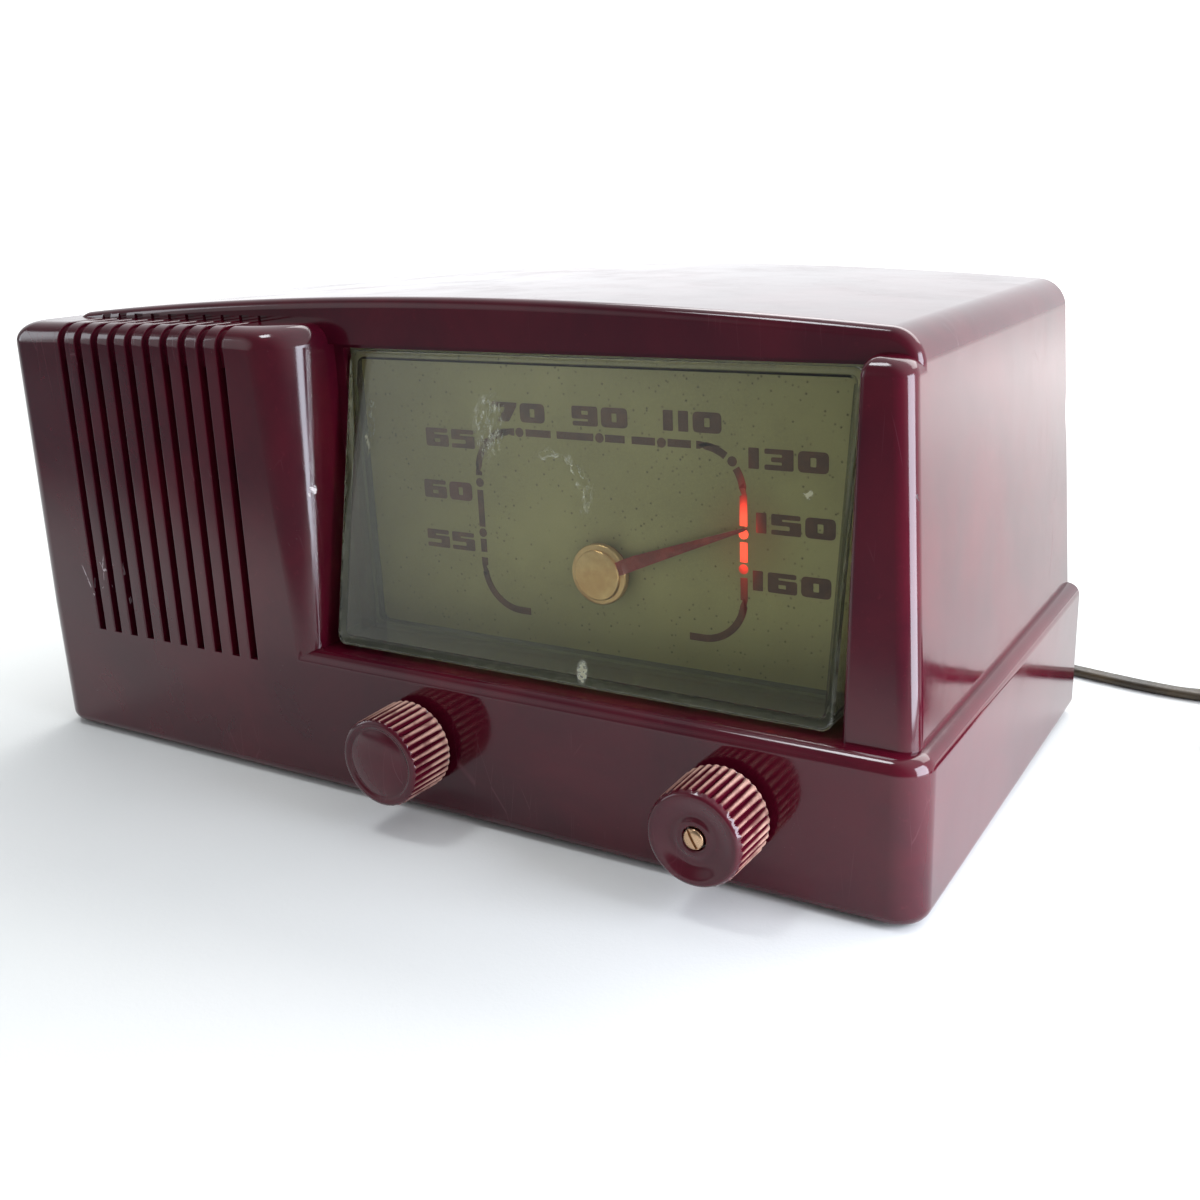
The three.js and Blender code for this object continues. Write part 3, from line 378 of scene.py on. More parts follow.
class Nodes(Tree):
    """A material's tree. Places in it are where things are drawn, in metres."""

    def __init__(self, name):
        self.material = bpy.data.materials.new(name)
        self.material.use_nodes = True
        super().__init__(self.material.node_tree)
        self.tree.nodes.clear()
        output = self.node("OutputMaterial")
        self.shader = self.node("BsdfPrincipled")
        self.put(self.shader.outputs[0], output.inputs[0])
        where = self.node("TexCoord").outputs["Object"]
        self.object = self.node("Mapping", {"Vector": where, "Location": -PLACED}).outputs[0]

    def set(self, **values):
        """Sets or links the shader's inputs, with _ for each space in their names."""
        for name, value in values.items():
            self.put(value, self.shader.inputs[name.replace("_", " ")])

    def stretch(self, scale, turn=(0, 0, 0)):
        return self.node("Mapping", {"Vector": self.object, "Scale": scale, "Rotation": turn}).outputs[0]

    def noise(self, scale, detail=4.0, rough=0.55, vector=None, distortion=0.0):
        return self.node("TexNoise", {
            "Vector": vector or self.object, "Scale": scale, "Detail": detail, "Roughness": rough,
            "Distortion": distortion,
        }).outputs["Fac"]

    def cells(self, scale, feature="F1", vector=None):
        inputs = {"Vector": vector or self.object, "Scale": scale}
        return self.node("TexVoronoi", inputs, feature=feature).outputs["Distance"]

    def wave(self, scale, direction):
        inputs = {"Vector": self.object, "Scale": scale}
        return self.node("TexWave", inputs, bands_direction=direction).outputs["Fac"]

    def mix(self, factor, low, high):
        node = self.node("Mix", {"Factor": factor}, data_type="RGBA")
        self.put(colour(low), node.inputs[6])
        self.put(colour(high), node.inputs[7])
        return node.outputs[2]

    def bump(self, height, strength, distance, normal=None):
        node = self.node("Bump", {"Strength": strength, "Distance": distance, "Height": height})
        if normal:
            self.put(normal, node.inputs["Normal"])
        return node.outputs[0]

    def parts(self):
        """A place's distance across, back and up, in metres."""
        return self.node("SeparateXYZ", {"Vector": self.object}).outputs

    def beside(self, x, z):
        """Distances across and up from a place on the front, in metres."""
        across, _, up = self.parts()
        return self.minus(across, x * MM), self.minus(up, z * MM)

    def squares(self, across, up):
        return self.plus(self.times(across, across), self.times(up, up))

    def spot(self, x, z, half_x, half_z):
        """1 in the middle of an ellipse on the front, fading to 0 at its edge."""
        across, up = self.beside(x, z)
        reach = self.squares(
            self.math("DIVIDE", across, half_x * MM), self.math("DIVIDE", up, half_z * MM),
        )
        return self.span(reach, 0.35, 1.0, 1.0, 0.0)

    def chip(self, x, y, z, radius):
        """1 inside a small ragged ball and 0 outside it."""
        radius = radius * MM
        node = self.node("VectorMath", operation="DISTANCE")
        self.put(self.object, node.inputs[0])
        self.put((x * MM, y * MM, z * MM), node.inputs[1])
        ragged = self.span(self.noise(900.0, 4.0, 0.7), 0.35, 0.65, -0.5 * radius, 0.5 * radius)
        return self.span(self.plus(node.outputs["Value"], ragged), 0.75 * radius, radius, 1.0, 0.0)

    def chips(self, *balls):
        """Several chips, each given as (x, y, z, radius) in millimetres."""
        return self.most(*(self.chip(*ball) for ball in balls))

    def away(self, x, z):
        """Distance in metres from an axis that runs along Y."""
        return self.math("SQRT", self.squares(*self.beside(x, z)))


# ---- materials -------------------------------------------------------------------------------

def bakelite(name, worn_axis=None):
    """Phenolic moulding: a deep maroon that is mottled, glossy, lightly scuffed and dusty."""
    n = Nodes(name)
    clouds = n.noise(22.0, 6.0, 0.6, distortion=0.6)
    flecks = n.noise(420.0, 3.0, 0.7)
    base = n.mix(n.span(clouds, 0.32, 0.7), "3a0616", "4b0a1a")
    base = n.mix(n.span(flecks, 0.62, 0.8, 0.0, 0.3), base, "6a1c2a")
    # Hairline scratches all over, and paler curved ones rubbed into the speaker column.
    fine = n.cells(160.0, "DISTANCE_TO_EDGE", n.stretch((1.0, 1.0, 0.12), (0.3, 0.5, 0.2)))
    fine = n.times(n.span(fine, 0.0, 0.01, 1.0, 0.0), n.span(n.noise(38.0, 2.0), 0.56, 0.66))
    curved = n.cells(75.0, "DISTANCE_TO_EDGE", n.stretch((1.0, 1.0, 0.45), (0.0, 1.1, 0.0)))
    curved = n.times(n.span(curved, 0.0, 0.011, 1.0, 0.0), n.span(n.noise(210.0, 3.0), 0.5, 0.58))
    rubbed = n.times(curved, n.spot(-125.0, 49.0, 16.0, 11.0))
    base = n.mix(n.times(fine, 0.14), base, "8a5560")
    base = n.mix(n.times(rubbed, 0.75), base, "c9bcc0")
    dust = n.span(n.cells(900.0), 0.0, 0.09, 0.5, 0.0)
    dust = n.times(dust, n.span(n.noise(90.0, 2.0), 0.6, 0.72))
    base = n.mix(dust, base, "d8c8c4")
    marks = n.most(n.times(fine, 0.4), rubbed)
    roughness = n.span(n.noise(35.0, 5.0, 0.65), 0.3, 0.75, 0.06, 0.17)
    if worn_axis:
        # The crests of a knob's ridges, which reach about 13 mm from its axis.
        worn = n.span(n.away(*worn_axis), 0.01255, 0.01305)
        worn = n.times(worn, n.span(n.noise(160.0, 3.0), 0.3, 0.55, 0.35, 1.0))
        base = n.mix(worn, base, "c49a8a")
        roughness = n.plus(roughness, n.times(worn, 0.12))
    else:
        # Pale knocks on the speaker column's edge, and dark nicks in the post's.
        knocks = n.chips((-36.4, -60.4, 86.4, 1.1), (-37.3, -61.6, 85.0, 0.7), (-36.2, -59.6, 79.6, 0.35))
        base = n.mix(knocks, base, "e8e0e0")
        nicks = n.chips((141.1, -54.6, 97.6, 0.9), (140.9, -54.9, 95.0, 0.8), (141.0, -54.4, 99.6, 0.5))
        base = n.mix(nicks, base, "1c060c")
        marks = n.most(marks, knocks, nicks)
    roughness = n.plus(roughness, n.times(marks, 0.25))
    peel = n.bump(n.noise(55.0, 2.0, 0.4), 0.12, 0.0006)
    peel = n.bump(marks, 0.25, 0.0001, peel)
    n.set(Base_Color=base, Roughness=roughness, Normal=peel, IOR=1.47)
    return n.material


def clear_plastic():
    """The dial lens: old acrylic, faintly green, with scuffs where it has been rubbed."""
    n = Nodes("lens_acrylic")
    # A smudge at the upper left, a rubbed ring broken into arcs, and a rub down the left edge.
    fibres = n.noise(900.0, 6.0, 0.85, n.stretch((1.0, 1.0, 0.3), (0.0, 0.35, 0.0)))
    fibres = n.span(fibres, 0.5, 0.64)
    smudge = n.times(n.spot(19.5, 106.0, 6.0, 10.0), n.times(fibres, 0.9))
    wander = n.span(n.noise(130.0, 4.0, 0.7), 0.2, 0.8, -0.004, 0.004)
    ring = n.minus(n.plus(n.away(38.0, 86.0), wander), 0.0155)
    ring = n.span(n.math("ABSOLUTE", ring), 0.0, 0.0008, 1.0, 0.0)
    broken = n.span(n.noise(520.0, 4.0, 0.75), 0.4, 0.58, 0.0, 0.6)
    arcs = n.times(ring, broken, n.spot(47.0, 95.0, 14.0, 12.0))
    left_rub = n.times(n.spot(-22.5, 104.0, 1.8, 10.0), fibres)
    specks = n.span(n.cells(330.0), 0.0, 0.05, 1.0, 0.0)
    specks = n.times(specks, n.span(n.noise(70.0, 2.0), 0.55, 0.7))
    _, deep, up = n.parts()
    in_front = n.span(deep, -0.0615, -0.0605, 1.0, 0.0)
    # Two chips, one at the foot of the front face and one at its upper right.
    mottled = n.span(n.noise(1000.0, 3.0), 0.35, 0.6, 0.3, 0.95)
    chipped = n.times(n.spot(54.7, 44.8, 1.9, 3.6), in_front, mottled)
    chipped = n.most(chipped, n.chip(113.9, -51.4, 95.3, 1.1))
    # The side walls and the outer edges are duller than the front.
    from_middle = n.beside((LENS_LEFT + LENS_RIGHT) / 2, (LENS_BOTTOM + LENS_TOP) / 2)
    aside, beyond = (n.math("ABSOLUTE", distance) for distance in from_middle)
    walls = n.most(n.span(aside, 0.0752, 0.0768), n.span(beyond, 0.0393, 0.0409))
    leaning = n.minus(deep, n.times(up, LENS_LEAN))
    walls = n.times(walls, n.span(leaning, -0.069, -0.0684))
    edges = n.most(n.span(aside, 0.0772, 0.078), n.span(beyond, 0.0413, 0.0421))
    edges = n.times(edges, n.span(n.noise(240.0, 3.0), 0.35, 0.65, 0.0, 0.3))
    haze = n.most(smudge, arcs, left_rub, specks, chipped, n.times(walls, 0.22), edges)
    roughness = n.span(n.noise(60.0, 5.0, 0.7), 0.35, 0.8, 0.0, 0.014)
    n.set(
        Base_Color=n.mix(haze, "eff2e6", "cbc9a8"),
        Transmission_Weight=n.span(haze, 0.0, 1.0, 1.0, 0.45, "LINEAR"),
        Roughness=n.plus(roughness, n.times(haze, 0.5)),
        Normal=n.bump(haze, 0.25, 0.0001),
        IOR=1.49,
    )
    return n.material


def dial_paint():
    """Olive gold lacquer with a fine brown speckle and a slow fade."""
    n = Nodes("dial_paint")
    speckle = n.span(n.cells(520.0), 0.0, 0.27, 1.0, 0.0)
    speckle = n.times(speckle, n.span(n.noise(400.0, 2.0), 0.4, 0.54))
    fade = n.noise(14.0, 4.0, 0.6)
    base = n.mix(n.span(fade, 0.3, 0.7), "a89f72", "c4bb87")
    base = n.mix(n.times(speckle, 0.9), base, "443a22")
    grain = n.noise(1500.0, 2.0, 0.6)
    base = n.mix(n.span(grain, 0.35, 0.8, 0.0, 0.3), base, "cdc08a")
    across, _, up = n.parts()
    # Painted shade: the plate darkens toward its bottom and toward its left edge.
    painted_shade = n.most(n.span(up, 0.042, 0.07, 0.4, 0.0), n.span(across, -0.02, 0.03, 0.3, 0.0))
    base = n.mix(painted_shade, base, "565038")
    # A painted glow: the plate is tinted red-brown about the pointer's tip, where the lamp shines from
    # behind.
    glow = n.span(n.away(93.0, 80.0), 0.002, 0.018, 0.35, 0.0)
    base = n.mix(glow, base, "a8663c")
    n.set(Base_Color=base, Metallic=0.1, Roughness=n.span(grain, 0.2, 0.8, 0.38, 0.6))
    n.set(Normal=n.bump(grain, 0.15, 0.00005))
    return n.material


def dial_ink():
    """Translucent maroon markings, lit red where the lamp stands behind them."""
    n = Nodes("dial_ink")
    blotch = n.noise(170.0, 5.0, 0.7)
    base = n.mix(n.span(blotch, 0.35, 0.7), "5f4038", "76503f")
    base = n.mix(n.spot(3.4, 85.1, 5.5, 4.5), base, "6e3f38")
    # The lamp's glow, painted in as a red tint and as emission, strongest on the track beside the pointer's
    # tip.
    across, up = n.beside(92.8, 80.5)
    across = n.times(across, 2.6)
    up = n.times(up, 0.88)
    reach = n.math("SQRT", n.squares(across, up))
    near = n.span(reach, 0.0045, 0.0105, 1.0, 0.0)
    corner = n.times(n.math("ABSOLUTE", n.times(across, up)), 70.0)
    far = n.span(n.plus(reach, corner), 0.007, 0.03, 1.0, 0.0)
    base = n.mix(n.times(far, 0.7), base, "9c3a2c")
    spill = n.times(n.math("POWER", far, 3.0), 0.16)
    n.set(Base_Color=base, Roughness=0.5, Emission_Color=n.mix(near, "ff2a18", "ff4a34"))
    n.set(Emission_Strength=n.plus(n.times(near, 1.9), spill))
    return n.material


def red_celluloid():
    """Faded red celluloid that lets a little light in."""
    n = Nodes("red_celluloid")
    fade = n.noise(260.0, 4.0, 0.6)
    n.set(Base_Color=n.mix(n.span(fade, 0.3, 0.7), "8c2420", "b5443a"), Roughness=0.32)
    n.set(Subsurface_Weight=0.2, Subsurface_Radius=(0.002, 0.0004, 0.0003))
    return n.material


def metal(name, dark, light, rough=(0.25, 0.45), brush=(1.0, 1.0, 1.0), scale=300.0, stain=None):
    """Plain metal with brushing, slow tarnish and, where named, a stain colour."""
    n = Nodes(name)
    brushed = n.noise(scale, 4.0, 0.65, n.stretch(brush))
    tarnish = n.noise(40.0, 5.0, 0.65, distortion=0.4)
    base = n.mix(n.span(tarnish, 0.3, 0.7), dark, light)
    if stain:
        base = n.mix(n.span(n.noise(85.0, 6.0, 0.7), 0.56, 0.72, 0.0, 0.7), base, stain)
    n.set(Base_Color=base, Metallic=1.0, Roughness=n.span(brushed, 0.25, 0.75, *rough))
    n.set(Normal=n.bump(brushed, 0.12, 0.00005))
    return n.material


def turned_brass():
    """Brass whose face was finished on a lathe, with the tool's rings about the dial axis."""
    n = Nodes("hub_brass")
    rings = n.math("SINE", n.times(n.away(DIAL_X, DIAL_Z), 14000.0))
    tarnish = n.noise(120.0, 5.0, 0.65)
    base = n.mix(n.span(tarnish, 0.3, 0.7), "c69c6c", "e8c492")
    n.set(Base_Color=base, Metallic=0.85, Roughness=n.span(tarnish, 0.3, 0.7, 0.3, 0.46))
    n.set(Normal=n.bump(rings, 0.08, 0.00003))
    return n.material


def board(name, dark, light, scale=1.0):
    """Pressed fibre: short matted fibres, a few dark specks and a soft uneven face."""
    n = Nodes(name)
    fibres = n.noise(500.0 * scale, 5.0, 0.75, n.stretch((1.0, 1.0, 0.25)))
    cross = n.noise(500.0 * scale, 5.0, 0.75, n.stretch((0.25, 1.0, 1.0)))
    matted = n.times(n.plus(fibres, cross), 0.5)
    base = n.mix(n.span(matted, 0.35, 0.65), dark, light)
    base = n.mix(n.span(n.noise(20.0, 4.0), 0.4, 0.8, 0.0, 0.35), base, dark)
    n.set(Base_Color=base, Roughness=n.span(matted, 0.3, 0.7, 0.95, 0.78))
    n.set(Normal=n.bump(matted, 0.35, 0.00025))
    return n.material


def cloth():
    """Plain-woven grille cloth."""
    n = Nodes("grille_cloth")
    weave = n.times(n.wave(350.0, "X"), n.wave(350.0, "Z"))
    base = n.mix(n.span(weave, 0.1, 0.8), "0e0806", "2e1c17")
    base = n.mix(n.span(n.noise(600.0, 3.0), 0.6, 0.75, 0.0, 0.5), base, "5a4334")
    n.set(Base_Color=base, Roughness=0.95, Normal=n.bump(weave, 0.6, 0.0003))
    return n.material


def paper():
    """The loudspeaker cone's pulp, pressed in rings about the speaker's axis."""
    n = Nodes("cone_paper")
    rings = n.math("SINE", n.times(n.away(SPEAKER_X, SPEAKER_Z), 2600.0))
    pulp = n.noise(700.0, 5.0, 0.75)
    n.set(Base_Color=n.mix(n.span(pulp, 0.3, 0.7), "17130f", "342b24"), Roughness=0.93)
    n.set(Normal=n.bump(rings, 0.25, 0.0003, n.bump(pulp, 0.3, 0.0002)))
    return n.material


def rubber(name, dark, light, rough=(0.55, 0.8)):
    """Rubber, moulded plastic or waxed cord: a slow bloom and fine pores."""
    n = Nodes(name)
    bloom = n.noise(45.0, 5.0, 0.65)
    pores = n.noise(1100.0, 3.0, 0.7)
    base = n.mix(n.span(bloom, 0.35, 0.7), dark, light)
    n.set(Base_Color=base, Roughness=n.span(pores, 0.3, 0.7, *rough))
    n.set(Normal=n.bump(pores, 0.2, 0.0001))
    return n.material


def glass():
    """Tube glass that is clear near the top, with a grey film lower down."""
    n = Nodes("tube_glass")
    _, _, up = n.parts()
    film = n.span(up, 0.052, 0.1, 1.0, 0.0)
    film = n.times(film, n.span(n.noise(60.0, 4.0), 0.2, 0.8, 0.5, 1.0))
    n.set(Base_Color=n.mix(film, "f4f6f4", "8d8f8c"), Roughness=n.span(film, 0.0, 1.0, 0.02, 0.12))
    n.set(IOR=1.5, Transmission_Weight=0.92)
    return n.material


def floor_material():
    """A pale matt floor with a painted shadow well in front of the radio, lit from within far behind it."""
    n = Nodes("floor")
    soft = n.noise(3.0, 4.0, 0.6)
    _, deep, _ = n.parts()
    base = n.mix(n.span(soft, 0.3, 0.7), "d5d7d5", "dcdcda")
    # Painted shadow: the floor turns grey-blue well in front of the radio.
    n.set(Base_Color=n.mix(n.span(deep, -0.45, -0.22), "7d8386", base), Roughness=0.9)
    n.set(Normal=n.bump(n.noise(700.0, 4.0, 0.7), 0.15, 0.0005))
    n.set(Emission_Strength=n.span(deep, 0.25, 1.4, 0.0, 0.85))
    return n.material


BAKELITE = bakelite("bakelite")
TUNING_BAKELITE = bakelite("tuning_knob_bakelite", (TUNING_X, KNOB_Z))
VOLUME_BAKELITE = bakelite("volume_knob_bakelite", (VOLUME_X, KNOB_Z))
ACRYLIC = clear_plastic()
DIAL_PAINT = dial_paint()
DIAL_INK = dial_ink()
CELLULOID = red_celluloid()
HUB_BRASS = turned_brass()
BRASS = metal("brass", "8a6f3c", "b4965a", (0.25, 0.42), stain="5e4522")
SCREW_BRONZE = metal("screw_bronze", "a37f62", "c9a888", (0.22, 0.38))
STEEL = metal("steel", "77787a", "9c9c9a", (0.3, 0.5), stain="6a4a34")
ALUMINIUM = metal("aluminium", "a2a5a9", "c6c8ca", (0.28, 0.48), (1.0, 1.0, 0.08))
IRON = metal("cast_iron", "2c2e31", "4a4c4e", (0.5, 0.75), scale=800.0, stain="5a3422")
WIRE = metal("antenna_wire", "6a3218", "96522c", (0.35, 0.5), scale=900.0)
FIBREBOARD = board("fibreboard", "2e1d13", "533722")
SOCKET_BOARD = board("phenolic", "33190c", "5c3216", 2.0)
CLOTH = cloth()
PAPER = paper()
RUBBER = rubber("rubber", "151311", "2a2622")
LEAD_RUBBER = rubber("lead_rubber", "2a2218", "463a29", (0.38, 0.6))
PLUG_MOULDING = rubber("plug_moulding", "1c120c", "33221a", (0.22, 0.4))
GLASS = glass()
CORD_FIBRE = rubber("drive_cord", "a89a70", "cfc196", (0.8, 0.95))


# ---- mains lead ------------------------------------------------------------------------------

LEAD_ROUTE = [
    (100, 107.3, 22), (100.4, 111, 21.5), (102, 116, 18.9), (105.5, 120.5, 14.4),
    (111, 123.8, 8.5), (118.5, 125.3, 3), (128, 125.1, -1), (138, 123.6, -2.1),
    (148, 121.3, -2.2), (158, 119, -2.2), (169, 116.9, -2.2), (181, 115.8, -2.2),
    (193, 116, -2), (204, 117, -1.2), (213.5, 118.2, -0.4),
]
TAIL_ROUTE = [(276.4, 52, -0.8), (276.6, 46, 0.2), (276.6, 39, 2.2), (276.6, 32.5, 3)]
# Where each turn of the coil starts, as (column from the middle out, layer from the table up).
COIL_SLOTS = [(3, 1), (2, 1), (1, 1), (1, 2), (1, 3), (2, 3), (2, 2), (3, 2)]
STEPS_PER_TURN = 48
COIL_CORE = 20.6
LAYER_START = TABLE_Z - 1.3
LAYER_PITCH = 5.7
# The route's points over which the lead turns from flat to on edge.
TURNS_FROM, TURNS_OVER = 11, 4
# Radius and height of the lead where it leaves the coil for the plug.
COIL_END = (40.6, 0.8)
EXIT_Z = LEAD_ROUTE[0][2]
ROUTE_FLOOR_Z = TABLE_Z + 3
# How far the middle of the lead drops when it lies flat and not on edge.
FLAT_DROP = 1.35


def coil_place(column, layer):
    """Radius and height of the lead's middle in one slot of the coil."""
    return COIL_CORE + LEAD_DIAMETER * column, LAYER_START + LAYER_PITCH * layer


def lead_line():
    """The lead's centreline, and how far its flat section has turned up on edge, 0 to 1."""
    line = []
    for index, (x, y, z) in enumerate(LEAD_ROUTE):
        on_edge = min(1.0, max(0.0, (index - TURNS_FROM) / TURNS_OVER))
        laid = z - FLAT_DROP * (EXIT_Z - z) / (EXIT_Z - ROUTE_FLOOR_Z)
        line.append((x, y, laid * (1 - on_edge) + z * on_edge, on_edge))
    places = [coil_place(*slot) for slot in COIL_SLOTS] + [COIL_END]
    for turn in range(len(COIL_SLOTS)):
        for step in range(STEPS_PER_TURN):
            share = step / STEPS_PER_TURN
            ease = share * share * (3 - 2 * share)
            start, end = places[turn], places[turn + 1]
            radius = start[0] + (end[0] - start[0]) * ease
            height = start[1] + (end[1] - start[1]) * ease
            angle = 2 * math.pi * share
            radius += 0.22 * math.sin(3 * angle + 1.9 * turn)
            line.append((COIL_X + radius * math.sin(angle), COIL_Y + radius * math.cos(angle), height, 1.0))
    for step in range(0, 10, 2):
        angle = math.pi / 2 * step / 10
        x = COIL_X + 40.5 * math.sin(angle)
        y = COIL_Y + 40.5 * math.cos(angle)
        line.append((x, y, 0.4 - 0.1 * step, 1.0))
    line += [(278.4, 80, -0.7, 1.0), (278.2, 72, -0.9, 0.9), (277.4, 62, -1.0, 0.6)]
    line += [(x, y, z, 0.35 - 0.35 * i / 3) for i, (x, y, z) in enumerate(TAIL_ROUTE)]
    return line


def through(points, spacing):
    """Points spaced evenly along a smooth curve through the given ones, any number of columns."""
    fine = []
    for i in range(len(points) - 1):
        before = points[max(0, i - 1)]
        start, end = points[i], points[i + 1]
        after = points[min(len(points) - 1, i + 2)]
        pieces = max(2, round(math.dist(start[:3], end[:3]) / 0.6))
        for k in range(pieces):
            t = k / pieces
            fine.append(tuple(
                0.5 * (2 * b + (c - a) * t + (2 * a - 5 * b + 4 * c - d) * t * t
                       + (3 * b - a - 3 * c + d) * t ** 3)
                for a, b, c, d in zip(before, start, end, after)
            ))
    fine.append(points[-1])
    kept = [fine[0]]
    for point in fine[1:]:
        if math.dist(point[:3], kept[-1][:3]) >= spacing:
            kept.append(point)
    if math.dist(kept[-1][:3], fine[-1][:3]) > spacing * 0.3:
        kept.append(fine[-1])
    else:
        kept[-1] = fine[-1]
    return kept


def twin_section(width, thick, steps=14):
    """Outline of a flat twin lead: two round lobes with a groove between them."""
    lobe = thick / 2
    centre = width / 2 - lobe
    outline = []
    for side in (1, -1):
        for i in range(steps + 1):
            angle = math.radians(-118 + 236 * i / steps)
            outline.append((side * (centre + lobe * math.cos(angle)), side * lobe * math.sin(angle)))
    return outline


def sweep(name, line, section):
    """A section carried along a line whose fourth number turns it from flat to on edge."""
    rings = []
    for i, point in enumerate(line):
        ahead = Vector(line[min(i + 1, len(line) - 1)][:3])
        back = Vector(line[max(i - 1, 0)][:3])
        along = (ahead - back).normalized()
        level = Vector((0, 0, 1)).cross(along).normalized()
        rising = along.cross(level).normalized()
        turn = math.pi / 2 * point[3]
        wide = level * math.cos(turn) + rising * math.sin(turn)
        tall = along.cross(wide).normalized()
        centre = Vector(point[:3])
        rings.append([tuple(centre + wide * u + tall * v) for u, v in section])
    return loft(name, rings)


lead_points = through(lead_line(), 1.4)
lead = sweep("mains_lead_flex", lead_points, twin_section(LEAD_DIAMETER, LEAD_THICKNESS))
finish_piece(
    lead, LEAD_RUBBER, "cabinet",
    ("mains_lead", "mains_lead_coil", "mains_lead_tail"), 50.0, False,
)


def make_tie():
    """A paper-covered wire tie round the coil's left side, with its two ends twisted together."""
    half_x, half_z, corner, middle_x, middle_z = 10.15, 9.45, 3.0, 206.05, 4.95
    loop = rounded_plan(half_x, half_z, corner, middle_x, middle_z)
    section = [
        (-2.2, -0.3), (-0.6, -0.3), (0, -0.5), (0.6, -0.3), (2.2, -0.3), (2.2, 0.1), (0.6, 0.1), (0, 0.35),
        (-0.6, 0.1), (-2.2, 0.1),
    ]
    rings = []
    for i, (x, z) in enumerate(loop):
        before = loop[i - 1]
        after = loop[(i + 1) % len(loop)]
        normal = Vector((after[1] - before[1], 0, before[0] - after[0])).normalized()
        lean = 0.8 * math.sin(i * 0.45)
        rings.append([(x + normal.x * v, COIL_Y + u + lean, z + normal.z * v) for u, v in section])
    band = loft("tie_band", rings, closed=True)
    ends = []
    for side in (0, math.pi):
        strand = []
        for i in range(37):
            share = i / 36
            turn = side + share * 5 * math.pi
            spread = 0.85 + 1.6 * max(0.0, share - 0.8) * 5
            y = COIL_Y + spread * math.cos(turn)
            strand.append((205.5 - 7.5 * share, y, 15.7 + spread * 0.6 * math.sin(turn), 0))
        ends.append(sweep("tie_end", strand, [(-1.0, -0.22), (1.0, -0.22), (1.0, 0.22), (-1.0, 0.22)]))
    return join("lead_tie", [band, *ends])


tie = make_tie()
finish_piece(tie, PLUG_MOULDING, "cabinet", ("coil_tie",), 50.0, False)


def make_plug():
    """A moulded two-pin plug with a waisted grip, finger ribs and seats for its two blades."""
    back = 32.2
    face = back - 27
    profile = [
        (0.0, 2.2, 1.2), (0.0, 4.2, 3.0), (0.6, 5.2, 3.7), (4.0, 6.4, 4.6), (7.5, 7.2, 5.4),
        (10.5, 8.6, 6.4), (12.6, 10.6, 7.2), (14.2, 11.6, 7.8), (16.0, 11.9, 7.9),
    ]
    for rib in (17.2, 19.5, 21.8):
        for step, narrower in ((0.0, 0.0), (0.5, 0.6), (1.0, 0.6), (1.5, 0.0)):
            profile.append((rib + step, 11.9 - narrower, 7.9 - narrower))
    profile += [(25.2, 11.9, 7.9), (26.2, 11.7, 7.7), (26.8, 11.0, 7.0), (27.0, 10.2, 6.2)]
    rings = []
    for along, half_x, half_z in profile:
        radius = min(half_z, 0.35 * half_x + 2.2)
        rings.append(upright(rounded_plan(half_x, half_z, radius, PLUG_X, PLUG_Z), back - along))
    seats = [
        box("seat", x - 1.1, x + 1.1, face - 1, face + 6, PLUG_Z - 3.5, PLUG_Z + 3.5)
        for x in (PLUG_X - 6.35, PLUG_X + 6.35)
    ]
    return combine(loft("mains_plug", rings), seats, "DIFFERENCE")


plug = finish_piece(make_plug(), PLUG_MOULDING, "cabinet", ("plug_body",), 40.0)


# ---- cabinet ---------------------------------------------------------------------------------

def side_at(z):
    """Distance of the upper body's side from the cabinet's middle."""
    return SIDE_AT_LEDGE - SIDE_DRAFT * (z - LEDGE_Z)


def crown_at(reach):
    """Height of the top so far from the cabinet's middle."""
    return CROWN_Z - CROWN_DROP * (reach / CROWN_REACH) ** 2


def shoulder_centre():
    """Centre, from the middle, of the round shoulder that touches the leaning side and the crown."""
    crown_slope, crown_cosine, side_stretch = 0.084, 0.9965, 1.00245
    x, z = 134.0, 125.0
    for _ in range(30):
        touch = x + SHOULDER_RADIUS * crown_slope
        x = side_at(z) - SHOULDER_RADIUS * side_stretch
        z = crown_at(touch) - SHOULDER_RADIUS * crown_cosine
    return x, z


def body_outline(inset, bottom):
    """The upper body seen from the front, in (x, z), from lower right round to lower left."""
    right = [(side_at(z) - inset, z) for z in (bottom, 60.0, 85.0, 105.0)]
    lean = math.degrees(math.atan(SIDE_DRAFT))
    radius = SHOULDER_RADIUS - inset
    right += arc(*shoulder_centre(), radius, radius, lean, 85.2, 12)
    across = [right[-1][0] * (1 - i / 20) for i in range(1, 40)]
    crown = [(x, crown_at(x) - inset) for x in across]
    left = [(-x, z) for x, z in reversed(right)]
    return [(CENTRE_X + x, z) for x, z in right + crown + left]


def front_corners(left, right, back, left_corner, right_corner, left_steps, right_steps):
    """An outline in (x, y), open-cornered at the back. A corner is (front, radius_x, radius_y)."""
    front, radius_x, radius_y = left_corner
    points = [(left, back)]
    points += arc(left + radius_x, front + radius_y, radius_x, radius_y, 180, 270, left_steps)
    front, radius_x, radius_y = right_corner
    points += arc(right - radius_x, front + radius_y, radius_x, radius_y, 270, 360, right_steps)
    return points + [(right, back)]


def base_block():
    """The full-width base, rounded along its front corners, its ledge and its foot."""
    levels = [(RIM_Z + along, inset) for inset, along in quarter(EDGE_RADIUS, 8)]
    rings = []
    for z, inset in levels + rounded_levels(LEDGE_Z, EDGE_RADIUS, 8):
        corner = (FRONT + inset, CORNER_RADIUS - inset, CORNER_RADIUS - inset)
        outline = front_corners(LEFT + inset, RIGHT - inset, behind(DEPTH), corner, corner, 10, 10)
        rings.append(flat(outline, z))
    return loft("base", rings)


